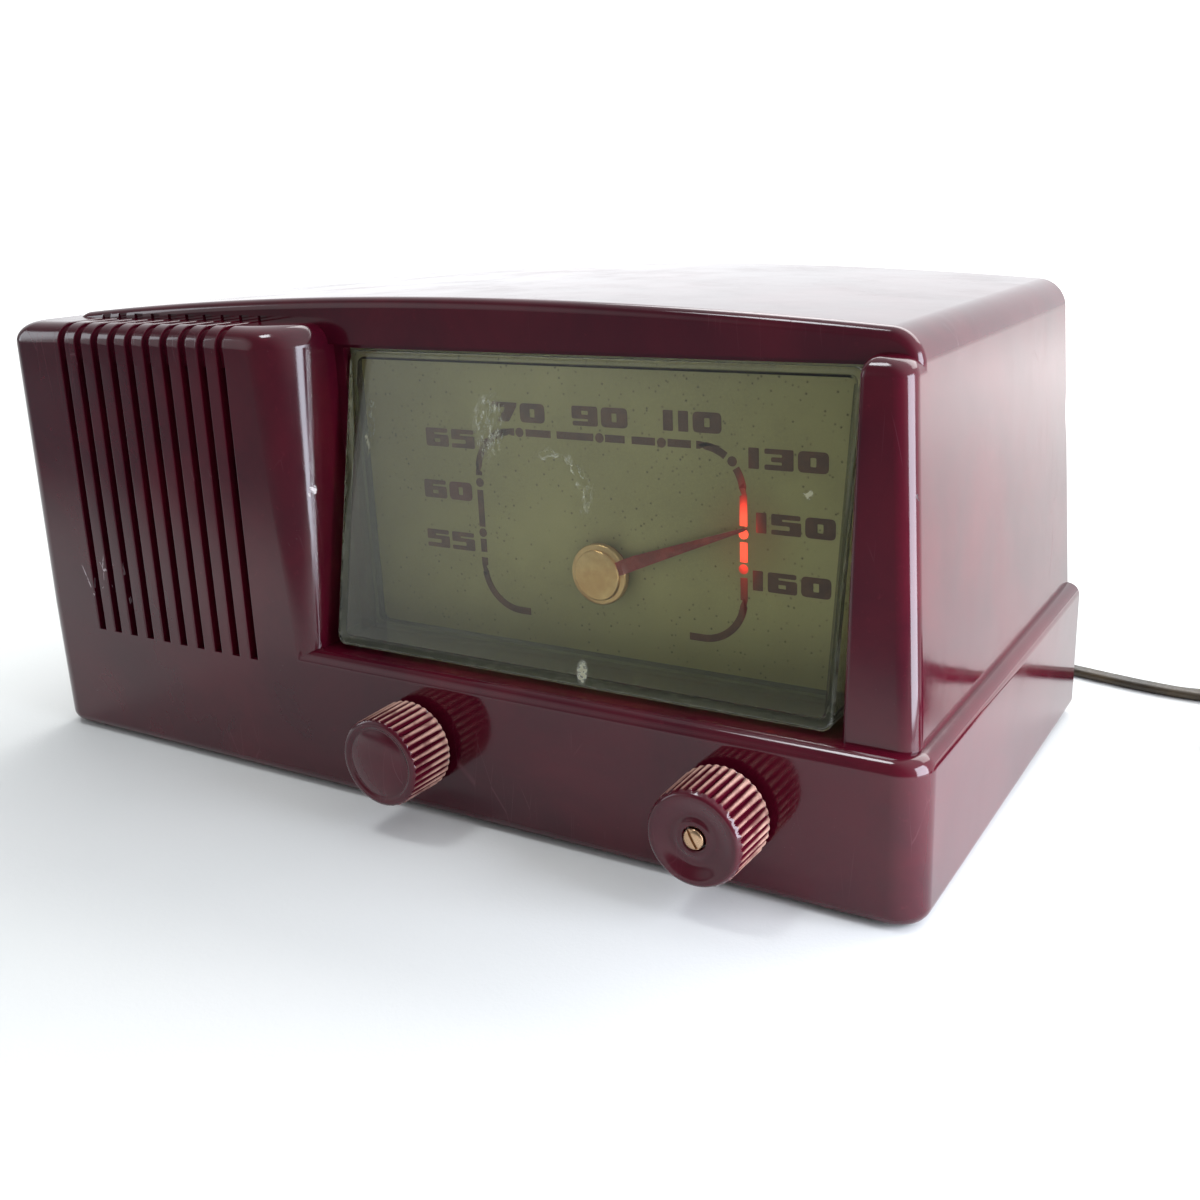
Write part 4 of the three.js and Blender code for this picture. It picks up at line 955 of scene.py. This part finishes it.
def underside_pocket():
    """The space inside the rim round the cabinet's underside."""
    rim = 5
    half_y = DEPTH / 2
    outline = rounded_plan(HALF_WIDTH - rim, half_y - rim, 4.0, CENTRE_X, behind(half_y))
    return loft("pocket", [flat(outline, z) for z in (-10.0, FLOOR_Z)])


def upper_body():
    """The crowned body above the base, from its rounded hood edge to its open back."""
    levels = quarter(3.0, 7) + [(0.0, DEPTH - HOOD_DEPTH)]
    rings = [upright(body_outline(inset, 30.0), behind(HOOD_DEPTH) + along) for inset, along in levels]
    return loft("upper", rings)


def column_outline(z, inset, back):
    """One level of the speaker column, in (x, y). Its right edge rounds more the higher it is."""
    rise = max(0.0, z - LEDGE_Z) / (SHELF_Z - LEDGE_Z)
    front = FRONT + PANEL_LEAN * max(0.0, z - LEDGE_Z) + inset
    left = LEFT + 1.6 * rise + inset
    right = COLUMN_RIGHT - inset
    corner = CORNER_RADIUS - 1.5 * rise
    left_corner = (front, corner, corner)
    right_corner = (front, 7 + 8 * rise, 6 + 11 * rise - inset)
    return front_corners(left, right, back, left_corner, right_corner, 10, 14)


def speaker_column():
    """The louvred block at the left, from inside the base up to its rounded top."""
    levels = [(z, 0.0) for z in (LEDGE_Z - EDGE_RADIUS - 0.4, LEDGE_Z, 62.0, 86.0, 108.0)]
    levels += rounded_levels(SHELF_Z, TOP_ROUNDING, 12)
    back = behind(HOOD_DEPTH + 6)
    return loft("column", [flat(column_outline(z, inset, back), z) for z, inset in levels])


def column_hollow():
    """The space inside the speaker column."""
    levels = (FLOOR_Z + WALL, LEDGE_Z, SHELF_Z - WALL)
    back = behind(HOOD_DEPTH + 2)
    return loft("hollow", [flat(column_outline(z, WALL, back), z) for z in levels])


def post_outline(z, inset):
    """One level of the post at the right of the dial, in (x, y)."""
    front = behind(5.5 + 0.088 * (z - LEDGE_Z)) + inset
    left = POST_LEFT + inset * 0.6
    right = CENTRE_X + side_at(z) - inset
    return front_corners(left, right, behind(HOOD_DEPTH + 6), (front, 1.6, 1.6), (front, 5.0, 5.0), 4, 10)


def right_post():
    """The leaning post at the right of the dial, rounded under the hood."""
    levels = [(LEDGE_Z - 3, 0.0)] + rounded_levels(HOOD_UNDERSIDE + 1.8, 4.6, 9)
    return loft("post", [flat(post_outline(z, inset), z) for z, inset in levels])


def slot_cutter(x):
    """The space of one louvre, cut through the column's front and carried on as a groove over its top."""
    lip = 0.45
    half = SLOT_WIDTH / 2
    mouth = [(half + lip, 1.5)] + [(half + inset, -along) for inset, along in quarter(lip, 3)]
    path = []
    bend = SHELF_Z - TOP_ROUNDING
    for z, depth in ((SLOT_BOTTOM, 7.0), (45.0, 7.0), (SLOT_TOP, 7.0), (SLOT_TOP + 0.6, 2.0), (bend, 1.5)):
        path.append((FRONT + PANEL_LEAN * max(0.0, z - LEDGE_Z), z, -1.0, 0.0, depth))
    front = FRONT + PANEL_LEAN * (bend - LEDGE_Z)
    for i in range(1, 13):
        angle = math.pi / 2 * i / 12
        y = front + TOP_ROUNDING * (1 - math.cos(angle))
        z = bend + TOP_ROUNDING * math.sin(angle)
        path.append((y, z, -math.cos(angle), math.sin(angle), 1.5 - 0.3 * i / 12))
    path.append((behind(HOOD_DEPTH) + 0.6, SHELF_Z, 0.0, 1.0, 1.2))
    rings = []
    for y, z, out_y, out_z, depth in path:
        right = [(across, out) for across, out in mouth + [(half, -depth)]]
        left = [(-across, out) for across, out in reversed(right)]
        rings.append([(x + across, y + out_y * out, z + out_z * out) for across, out in right + left])
    return loft("slot", rings)


def make_cabinet():
    """The whole moulding: its four blocks joined, hollowed and pierced."""
    inner = behind(DEPTH) + 1
    shell = combine(base_block(), [upper_body(), speaker_column(), right_post()], "UNION")
    hollow = body_outline(WALL, LEDGE_Z - WALL - 1)
    before = behind(-5)
    cutters = [
        underside_pocket(),
        box("low", LEFT + WALL, RIGHT - WALL, behind(WALL), inner, FLOOR_Z + WALL, LEDGE_Z - WALL),
        loft("high", [upright(hollow, behind(25.5)), upright(hollow, inner)]),
        column_hollow(),
        rod("cone", "y", (SPEAKER_X, SPEAKER_Z), SPEAKER_RADIUS, behind(HOOD_DEPTH), behind(30), 64),
        box("lens", COLUMN_RIGHT, POST_LEFT, before, behind(22.5), LEDGE_Z, HOOD_UNDERSIDE),
        box(
            "window", LENS_LEFT - LENS_GAP, LENS_RIGHT + LENS_GAP, before, behind(30),
            LENS_BOTTOM - 0.8, LENS_TOP + LENS_GAP,
        ),
    ]
    for x in (VOLUME_X, TUNING_X):
        cutters.append(rod("shaft", "y", (x, KNOB_Z), SHAFT_HOLE_RADIUS, behind(-2), behind(8)))
    cutters += [slot_cutter(SLOT_FIRST_X + SLOT_PITCH * i) for i in range(SLOT_COUNT)]
    combine(shell, cutters, "DIFFERENCE")
    holes = [rod("foot", "z", foot, FOOT_HOLE_RADIUS, FLOOR_Z - 2, FLOOR_Z + 1, 40) for foot in FEET]
    holes += [rod("screw", "z", screw, SCREW_HOLE_RADIUS, 0, 10, 20) for screw in CHASSIS_SCREWS]
    # A disc in the right side, centred behind the back, cuts a shallow finger hold in its rear edge.
    grip = rod("grip", "y", (0, 0), 24, 0, 12, 96)
    to_side = Matrix.Rotation(-math.pi / 2, 4, "Z")
    grip.data.transform(Matrix.Translation((0.138, 0.1108, 0.0934)) @ to_side)
    holes.append(grip)
    for x in VENT_MIDDLES:
        holes.append(box("vent", x - VENT_WIDTH / 2, x + VENT_WIDTH / 2, -20, 20, 0, 10))
    return combine(shell, holes, "DIFFERENCE")


cabinet = make_cabinet()
cabinet.name = "cabinet_moulding"
finish_piece(cabinet, BAKELITE, "cabinet", ("cabinet_shell",), 28.0)


# ---- knobs -----------------------------------------------------------------------------------

# Down the outside of a knob from its face, as (radius, depth behind the face, depth of the grooves).
FLUTED = [
    (12.55, 1.5, 0.0), (12.75, 1.75, 0.4), (12.85, 2.2, 0.85), (12.9, 5.0, 0.95), (13.0, 10.0, 0.95),
    (13.1, 14.4, 0.95), (13.15, 16.0, 0.7), (13.05, 16.3, 0.35), (12.7, 16.4, 0.0),
]
# Then from its back edge in to the end of its bore, as (radius, depth behind the face).
KNOB_INSIDE = [
    (11.2, 16.4), (10.7, 16.0), (10.6, 12.6), (6.2, 12.6), (6.0, 15.9), (3.3, 15.9), (3.3, 5.6), (0, 5.6),
]


def make_knob(name, x, face):
    """A moulded knob with a ring of rounded ridges between narrow grooves."""
    profile = face + [(radius, along) for radius, along, _ in FLUTED] + KNOB_INSIDE
    depths = [0.0] * len(face) + [depth for _, _, depth in FLUTED] + [0.0] * len(KNOB_INSIDE)

    def ripple(radius, index, angle):
        share = (angle * KNOB_FLUTES / (2 * math.pi)) % 1.0
        return radius - depths[index] * abs(2 * share - 1) ** 1.6

    placed = [(radius, behind(KNOB_FRONT) + along) for radius, along in profile]
    return turned(name, "y", (x, KNOB_Z), placed, KNOB_FLUTES * 10, ripple=ripple)


VOLUME_FACE = [
    (0, 0.0), (1.5, 0.02), (3.0, 0.09), (4.5, 0.22), (6.0, 0.42), (7.4, 0.68), (8.6, 0.98), (9.3, 1.2),
    (9.7, 1.34), (9.95, 1.4), (10.2, 1.32), (10.5, 1.14), (10.8, 1.02), (11.2, 0.98), (11.6, 1.0),
    (11.95, 1.1), (12.25, 1.25),
]
TUNING_FACE = [
    (0, 2.4), (3.0, 2.4), (3.05, 2.2), (3.1, 1.5), (3.25, 1.3), (3.6, 1.16), (4.2, 1.12), (4.8, 1.3),
    (5.5, 1.62), (6.4, 1.66), (7.4, 1.42), (8.6, 1.0), (9.7, 0.55), (10.6, 0.24), (11.2, 0.12),
    (11.7, 0.22), (12.15, 0.55),
]
for knob, x, face, material, body in (
    ("volume_knob", VOLUME_X, VOLUME_FACE, VOLUME_BAKELITE, "volume_rotor"),
    ("tuning_knob", TUNING_X, TUNING_FACE, TUNING_BAKELITE, "tuning_control"),
):
    finish_piece(make_knob(f"{knob}_fluted", x, face), material, body, (knob,), 50.0, False)


def slotted_head(name, place, y, profile, slot_size, turn):
    """A screw along Y with a straight slot across its head. The profile lists (radius, beyond y)."""
    x, z = place
    placed = [(radius, y + along) for radius, along in profile]
    reach = max(radius for radius, _ in profile) + 1
    way = 1 if profile[1][1] >= profile[0][1] else -1
    half = slot_size / 2
    top = placed[0][1]
    outline = []
    for across, side in ((-reach, -half), (reach, -half), (reach, half), (-reach, half)):
        outline.append((
            x + across * math.cos(turn) - side * math.sin(turn),
            z + across * math.sin(turn) + side * math.cos(turn),
        ))
    groove = loft("groove", [upright(outline, top - way), upright(outline, top + way * slot_size)])
    return combine(turned(name, "y", place, placed, 40), [groove], "DIFFERENCE")


knob_screw = slotted_head(
    "tuning_knob_fixing", (TUNING_X, KNOB_Z), behind(KNOB_FRONT) + 0.45,
    [(0, 0.0), (1.3, 0.03), (2.1, 0.14), (2.55, 0.34), (2.75, 0.65), (2.75, 1.3), (1.0, 1.3), (1.0, 11.55),
     (0, 11.55)],
    0.75, math.radians(118),
)
finish_piece(knob_screw, SCREW_BRONZE, "tuning_control", ("tuning_knob_screw",), 35.0)

for index, place in enumerate(COVER_SCREWS):
    cover_screw = slotted_head(
        f"cover_fixing_{index + 1}", place, behind(COVER_BACK),
        [(0, 2.0), (1.6, 1.95), (2.6, 1.7), (3.3, 1.2), (3.6, 0.5), (3.6, 0), (1.6, 0), (1.6, -12),
         (0, -12)],
        0.9, 0.6 + 1.3 * index,
    )
    finish_piece(cover_screw, STEEL, "cabinet", (f"cover_screw_{index + 1}",), 35.0)


# ---- lens ------------------------------------------------------------------------------------

def lens_front_at(z):
    """y of the lens's leaning front at a height."""
    return behind(LENS_FRONT + LENS_LEAN * (z - LENS_BOTTOM))


def lens_ring(inset_x, inset_z, radius, y_at):
    """The lens's outline seen from the front, drawn in by the insets, whose y follows its height."""
    half_x = (LENS_RIGHT - LENS_LEFT) / 2 - inset_x
    half_z = (LENS_TOP - LENS_BOTTOM) / 2 - inset_z
    middle = ((LENS_LEFT + LENS_RIGHT) / 2, (LENS_BOTTOM + LENS_TOP) / 2)
    return [(x, y_at(z), z) for x, z in rounded_plan(half_x, half_z, radius, *middle, 8)]


def make_lens():
    """An acrylic box, open at the back, with a leaning front, rounded corners and a flange."""
    wall = 2.2
    shoulder = 25.9
    rings = []
    for inset, along in quarter(1.1, 5):
        rounding = 3.0 - 0.6 * inset
        rings.append(lens_ring(inset, inset, rounding, lambda z, along=along: lens_front_at(z) + along))
    for grow, flare, radius, depth in (
        (0.0, 0.0, 3.0, shoulder), (3.0, 2.6, 4.0, shoulder), (3.4, 3.0, 4.0, shoulder + 0.3),
        (3.4, 3.0, 4.0, LENS_BACK),
    ):
        rings.append(lens_ring(-grow, -flare, radius, lambda z, depth=depth: behind(depth)))
    hollow = [
        lens_ring(wall + 0.5, wall + 0.5, 1.6, lambda z: lens_front_at(z) + wall),
        lens_ring(wall, wall, 2.0, lambda z: lens_front_at(z) + wall + 0.6),
        lens_ring(wall, wall, 2.0, lambda z: behind(LENS_BACK + 4)),
    ]
    return combine(loft("lens_outside", rings), [loft("lens_hollow", hollow)], "DIFFERENCE")


lens = make_lens()
lens.name = "dial_window"
finish_piece(lens, ACRYLIC, "cabinet", ("dial_lens",), 30.0)


# ---- dial markings ---------------------------------------------------------------------------

def rounded_path(corners, radius, steps=5):
    """A closed path through the corners with each one rounded off."""
    path = []
    for i, corner in enumerate(corners):
        here = Vector(corner)
        into = Vector(corners[i - 1]) - here
        out = Vector(corners[(i + 1) % len(corners)]) - here
        reach = min(radius, into.length * 0.48, out.length * 0.48)
        start = here + into.normalized() * reach
        end = here + out.normalized() * reach
        for k in range(steps + 1):
            t = k / steps
            path.append(tuple(start * (1 - t) ** 2 + here * 2 * t * (1 - t) + end * t * t))
    return path


def stroke(path, width, y0, y1):
    """A flat raised line of constant width along a path in (x, z)."""
    points = [Vector(point) for point in path]
    ways = [(b - a).normalized() for a, b in zip(points, points[1:])]
    rings = []
    for here, into, out in zip(points, ways[:1] + ways, ways + ways[-1:]):
        normal = Vector((-(into + out).y, (into + out).x)).normalized()
        spread = width / 2 / max(0.5, normal.dot(Vector((-out.y, out.x))))
        a, b = here + normal * spread, here - normal * spread
        rings.append([(a.x, y0, a.y), (b.x, y0, b.y), (b.x, y1, b.y), (a.x, y1, a.y)])
    return loft("stroke", rings)


def block(x0, z0, x1, z1):
    return [(x0, z0), (x1, z0), (x1, z1), (x0, z1)]


# Outlines of broad square figures 8 mm wide and 5.3 mm high about their own middle, each with the
# radius that rounds its corners. The outlines after the first are holes.
FIGURES = {
    "0": [(block(-4, -2.65, 4, 2.65), 1.4), (block(-0.8, -1.15, 0.8, 1.15), 0.35)],
    "1": [(block(-1.4, -2.65, 1.4, 2.65), 0.25)],
    "3": [([
        (-3.8, -2.65), (3.9, -2.65), (3.9, 2.65), (-3.8, 2.65), (-3.8, 1.35), (0.9, 1.35), (0.9, 0.6),
        (-2.0, 0.6), (-2.0, -0.6), (0.9, -0.6), (0.9, -1.35), (-3.8, -1.35),
    ], 0.45)],
    "5": [([
        (-4, -2.65), (4, -2.65), (4, 0.85), (-1.1, 0.85), (-1.1, 1.4), (3.8, 1.4), (3.8, 2.65), (-4, 2.65),
        (-4, -0.25), (1.0, -0.25), (1.0, -1.4), (-4, -1.4),
    ], 0.45)],
    "6": [([
        (-4, -2.65), (4, -2.65), (4, 0.8), (-1.1, 0.8), (-1.1, 1.4), (3.8, 1.4), (3.8, 2.65), (-4, 2.65),
    ], 0.7), (block(-1.1, -1.4, 1.0, -0.35), 0.25)],
    "7": [([(-4, 2.65), (-4, 1.3), (0.2, 1.3), (-2.4, -2.65), (1.2, -2.65), (4, 1.6), (4, 2.65)], 0.3)],
}
# A nine is a six turned half round.
FIGURES["9"] = [([(-x, -z) for x, z in corners], radius) for corners, radius in FIGURES["6"]]


def filled(outlines, place, y0, y1):
    """A flat raised shape from a closed outline and its holes, drawn in (x, z)."""
    curve = bpy.data.curves.new("figure", "CURVE")
    curve.dimensions = "2D"
    curve.fill_mode = "BOTH"
    curve.extrude = (y1 - y0) / 2 * MM
    for corners, radius in outlines:
        path = rounded_path(corners, radius)
        spline = curve.splines.new("POLY")
        spline.points.add(len(path) - 1)
        spline.use_cyclic_u = True
        for point, (u, v) in zip(spline.points, path):
            point.co = (u * MM, v * MM, 0, 1)
    holder = new_object("figure", curve)
    mesh = evaluated_mesh(holder)
    bpy.data.objects.remove(holder)
    middle = Vector((place[0], (y0 + y1) / 2, place[1])) * MM
    mesh.transform(Matrix.Translation(middle) @ Matrix.Rotation(math.pi / 2, 4, "X"))
    return new_object("figure", mesh)


NUMERALS = [
    ("55", -1.5, 70.2), ("60", -1.2, 85.1), ("65", 0.9, 100.4), ("70", 25.1, 108.9), ("90", 51.0, 109.0),
    ("110", 78.3, 109.2), ("130", 104.6, 101.0), ("150", 106.6, 84.6), ("160", 105.6, 69.3),
]
DOTS = [
    (10.3, 73.5), (10.4, 88.2), (13.9, 99.8), (25.1, 103.4), (50.8, 103.4), (69.5, 103.3), (89.6, 99.8),
    (92.6, 81.2), (92.5, 71.9),
]
INK_Y = behind(PLATE_FRONT) - 0.14
TRACK_WIDTH = 2.0


def make_markings():
    """The printed scale: numerals, the rounded track with its gaps, and a dot for each numeral."""
    plate = behind(PLATE_FRONT) - 0.01
    parts = []
    for text, centre, z in NUMERALS:
        advances = [4.4 if figure == "1" else 9.1 for figure in text]
        x = centre - sum(advances) / 2
        for figure, advance in zip(text, advances):
            parts.append(filled(FIGURES[figure], (x + advance / 2, z), INK_Y, plate))
            x += advance
    left, right, low, high, corner = 10.3, 92.6, 51.6, 103.4, 12.0
    track = [(76.6, low)]
    for x, z, start in (
        (right - corner, low + corner, 270), (right - corner, high - corner, 0),
        (left + corner, high - corner, 90), (left + corner, low + corner, 180),
    ):
        track += arc(x, z, corner, corner, start, start + 90, 16)
    track.append((25.4, low))
    gaps = [(dot, 1.75) for dot in DOTS]
    gaps += [(break_at, 0.55) for break_at in ((36.4, high), (59.6, high), (78.9, high), (10.4, 66.8))]
    runs = [[]]
    for x, z, _ in through([(x, z, 0.0) for x, z in track], 0.35):
        if any(math.dist((x, z), place) < reach for place, reach in gaps):
            runs.append([])
        else:
            runs[-1].append((x, z))
    parts += [stroke(run, TRACK_WIDTH, INK_Y, plate) for run in runs if len(run) > 3]
    parts += [rod("dot", "y", dot, 1.3, INK_Y, plate, 24) for dot in DOTS]
    return join("dial_markings", parts)


markings = make_markings()
finish_piece(markings, DIAL_INK, "cabinet", (), 30.0, False)


# ---- hub and pointer -------------------------------------------------------------------------

def make_hub():
    profile = [
        (0, 0.0), (4.0, 0.0), (6.4, 0.02), (6.75, 0.12), (6.95, 0.35), (7.0, 0.8), (7.05, 1.0), (7.2, 1.1),
        (7.9, 1.14), (8.25, 1.25), (8.45, 1.5), (8.5, 1.9), (8.5, 3.0), (8.35, 3.2), (5.5, 3.2), (5.5, 5.1),
        (0, 5.1),
    ]
    placed = [(radius, behind(21.5) + along) for radius, along in profile]
    return turned("dial_hub", "y", (DIAL_X, DIAL_Z), placed, 96)


finish_piece(make_hub(), HUB_BRASS, "dial_drive", ("pointer_hub",), 28.0)


def make_pointer():
    """A tapering vane with a raised rib, which bends forward over the hub's rim."""
    cos, sin = math.cos(POINTER_ANGLE), math.sin(POINTER_ANGLE)
    back = behind(COLLAR_BACK)
    rings = []
    for along, half, lift in (
        (5.4, 0.9, 3.3), (5.9, 1.75, 3.4), (8.2, 1.95, 3.2), (9.4, 1.95, 1.6), (11.0, 1.9, 0.5),
        (20.0, 1.5, 0.5), (32.0, 1.0, 0.5), (POINTER_LENGTH - 1, 0.45, 0.5), (POINTER_LENGTH, 0.12, 0.45),
    ):
        ring = []
        for across, rise in ((-half, 0.0), (-half, 0.35), (0.0, 0.62), (half, 0.35), (half, 0.0)):
            y = back - lift - rise + (0.5 if lift <= 0.5 else 0.35)
            ring.append((DIAL_X + along * cos - across * sin, y, DIAL_Z + along * sin + across * cos))
        rings.append(ring)
    front = back - 0.5
    profile = [(5.8, front), (8.0, front), (8.0, back), (5.8, back)]
    collar = turned("collar", "y", (DIAL_X, DIAL_Z), profile, 64, closed=True)
    return join("dial_pointer", [loft("vane", rings), collar])


finish_piece(make_pointer(), CELLULOID, "dial_drive", ("pointer",), 20.0, False)


# ---- finishes for the carried-over CAD nodes ---------------------------------------------------

def dress(material, *names):
    """One material and clean shading for CAD nodes."""
    for name in names:
        shade(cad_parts[name], material, 30.0)


TUBE_NAMES = [f"{kind}_tube" for kind in ("converter", "amplifier", "detector", "output", "rectifier")]
dress(FIBREBOARD, "rear_cover", "speaker_baffle")
dress(DIAL_PAINT, "dial_plate")
dress(CELLULOID, "dial_backing")
dress(BRASS, "lamp_socket", "tuning_bushing", "plug_blade_1", "plug_blade_2")
dress(GLASS, "dial_lamp", *TUBE_NAMES)
dress(
    STEEL, "chassis", "chassis_screw_1", "chassis_screw_2", "gang_frame", "tuning_shaft", "volume_control",
    "speaker_basket",
)
dress(
    ALUMINIUM, "gang_stator", "gang_rotor", "dial_drum", "volume_shaft", "filter_capacitor",
    "if_transformer_1", "if_transformer_2",
)
dress(IRON, "speaker_magnet", "output_transformer")
dress(CORD_FIBRE, "dial_cord")
dress(CLOTH, "grille_cloth")
dress(PAPER, "speaker_cone")
dress(SOCKET_BOARD, *[f"{name}_socket" for name in TUBE_NAMES])
dress(WIRE, "loop_antenna")
dress(RUBBER, "strain_relief", "foot_1", "foot_2", "foot_3", "foot_4")


# ---- camera ----------------------------------------------------------------------------------

camera_data = bpy.data.cameras.new("camera")
camera_data.sensor_width = 36.0
camera_data.lens = 39.463
camera_data.clip_start = 0.01
camera = new_object("camera", camera_data)
camera.location = (0.23635, -0.33626, 0.17227)
camera.rotation_euler = [math.radians(angle) for angle in (72.555, 2.351, 31.178)]
bpy.context.scene.camera = camera
bpy.context.scene.view_settings.view_transform = "Standard"


# ---- floor and light -------------------------------------------------------------------------

REACH = 6000
floor_points = [(-REACH, -REACH, 0), (REACH, -REACH, 0), (REACH, REACH, 0), (-REACH, REACH, 0)]
floor = make_object("floor", floor_points, [(0, 1, 2, 3)])
floor.data.materials.append(floor_material())


def studio_world():
    """A white studio, brighter behind the radio and to its right, with a soft patch to its left."""
    world = bpy.data.worlds.new("studio")
    bpy.context.scene.world = world
    world.use_nodes = True
    background = world.node_tree.nodes["Background"]
    background.inputs["Color"].default_value = (0.95, 0.975, 1.0, 1.0)
    tree = Tree(world.node_tree)
    direction = tree.node("TexCoord").outputs["Generated"]
    lobes = []
    for toward, limits in (
        ((0.45, 0.85, 0.1), (-0.55, 0.5, 0.23, 1.5)), ((-0.74, -0.6, 0.3), (0.86, 1.0, 0.0, 0.8)),
    ):
        aim = tree.node("VectorMath", operation="DOT_PRODUCT")
        tree.put(direction, aim.inputs[0])
        tree.put(toward, aim.inputs[1])
        lobes.append(tree.span(aim.outputs["Value"], *limits))
    tree.put(tree.plus(*lobes), background.inputs["Strength"])


def softbox(name, place, aim, size, power, tint=(1.0, 1.0, 1.0)):
    """A rectangular lamp aimed at a point and hidden from the camera."""
    data = bpy.data.lights.new(name, "AREA")
    data.shape = "RECTANGLE"
    data.size, data.size_y = size
    data.energy = power
    data.color = tint
    light = new_object(name, data)
    light.location = place
    light.rotation_euler = (Vector(aim) - Vector(place)).to_track_quat("-Z", "Y").to_euler()
    light.visible_camera = False


studio_world()
softbox("backdrop_light", (0.25, 0.95, 0.95), (0.25, 0.75, 0.0), (1.6, 0.9), 22)
softbox("side_strip", (0.36, -0.07, 0.115), (0.0, -0.07, 0.115), (0.16, 0.22), 1.5, (0.82, 0.87, 1.0))
softbox("overhead", (-0.35, -0.35, 1.5), (0, 0, 0.07), (0.3, 0.3), 5, (0.92, 0.96, 1.0))
softbox("window", (-1.5, -0.7, 0.6), (0, 0, 0.07), (0.5, 0.8), 4, (0.86, 0.93, 1.0))
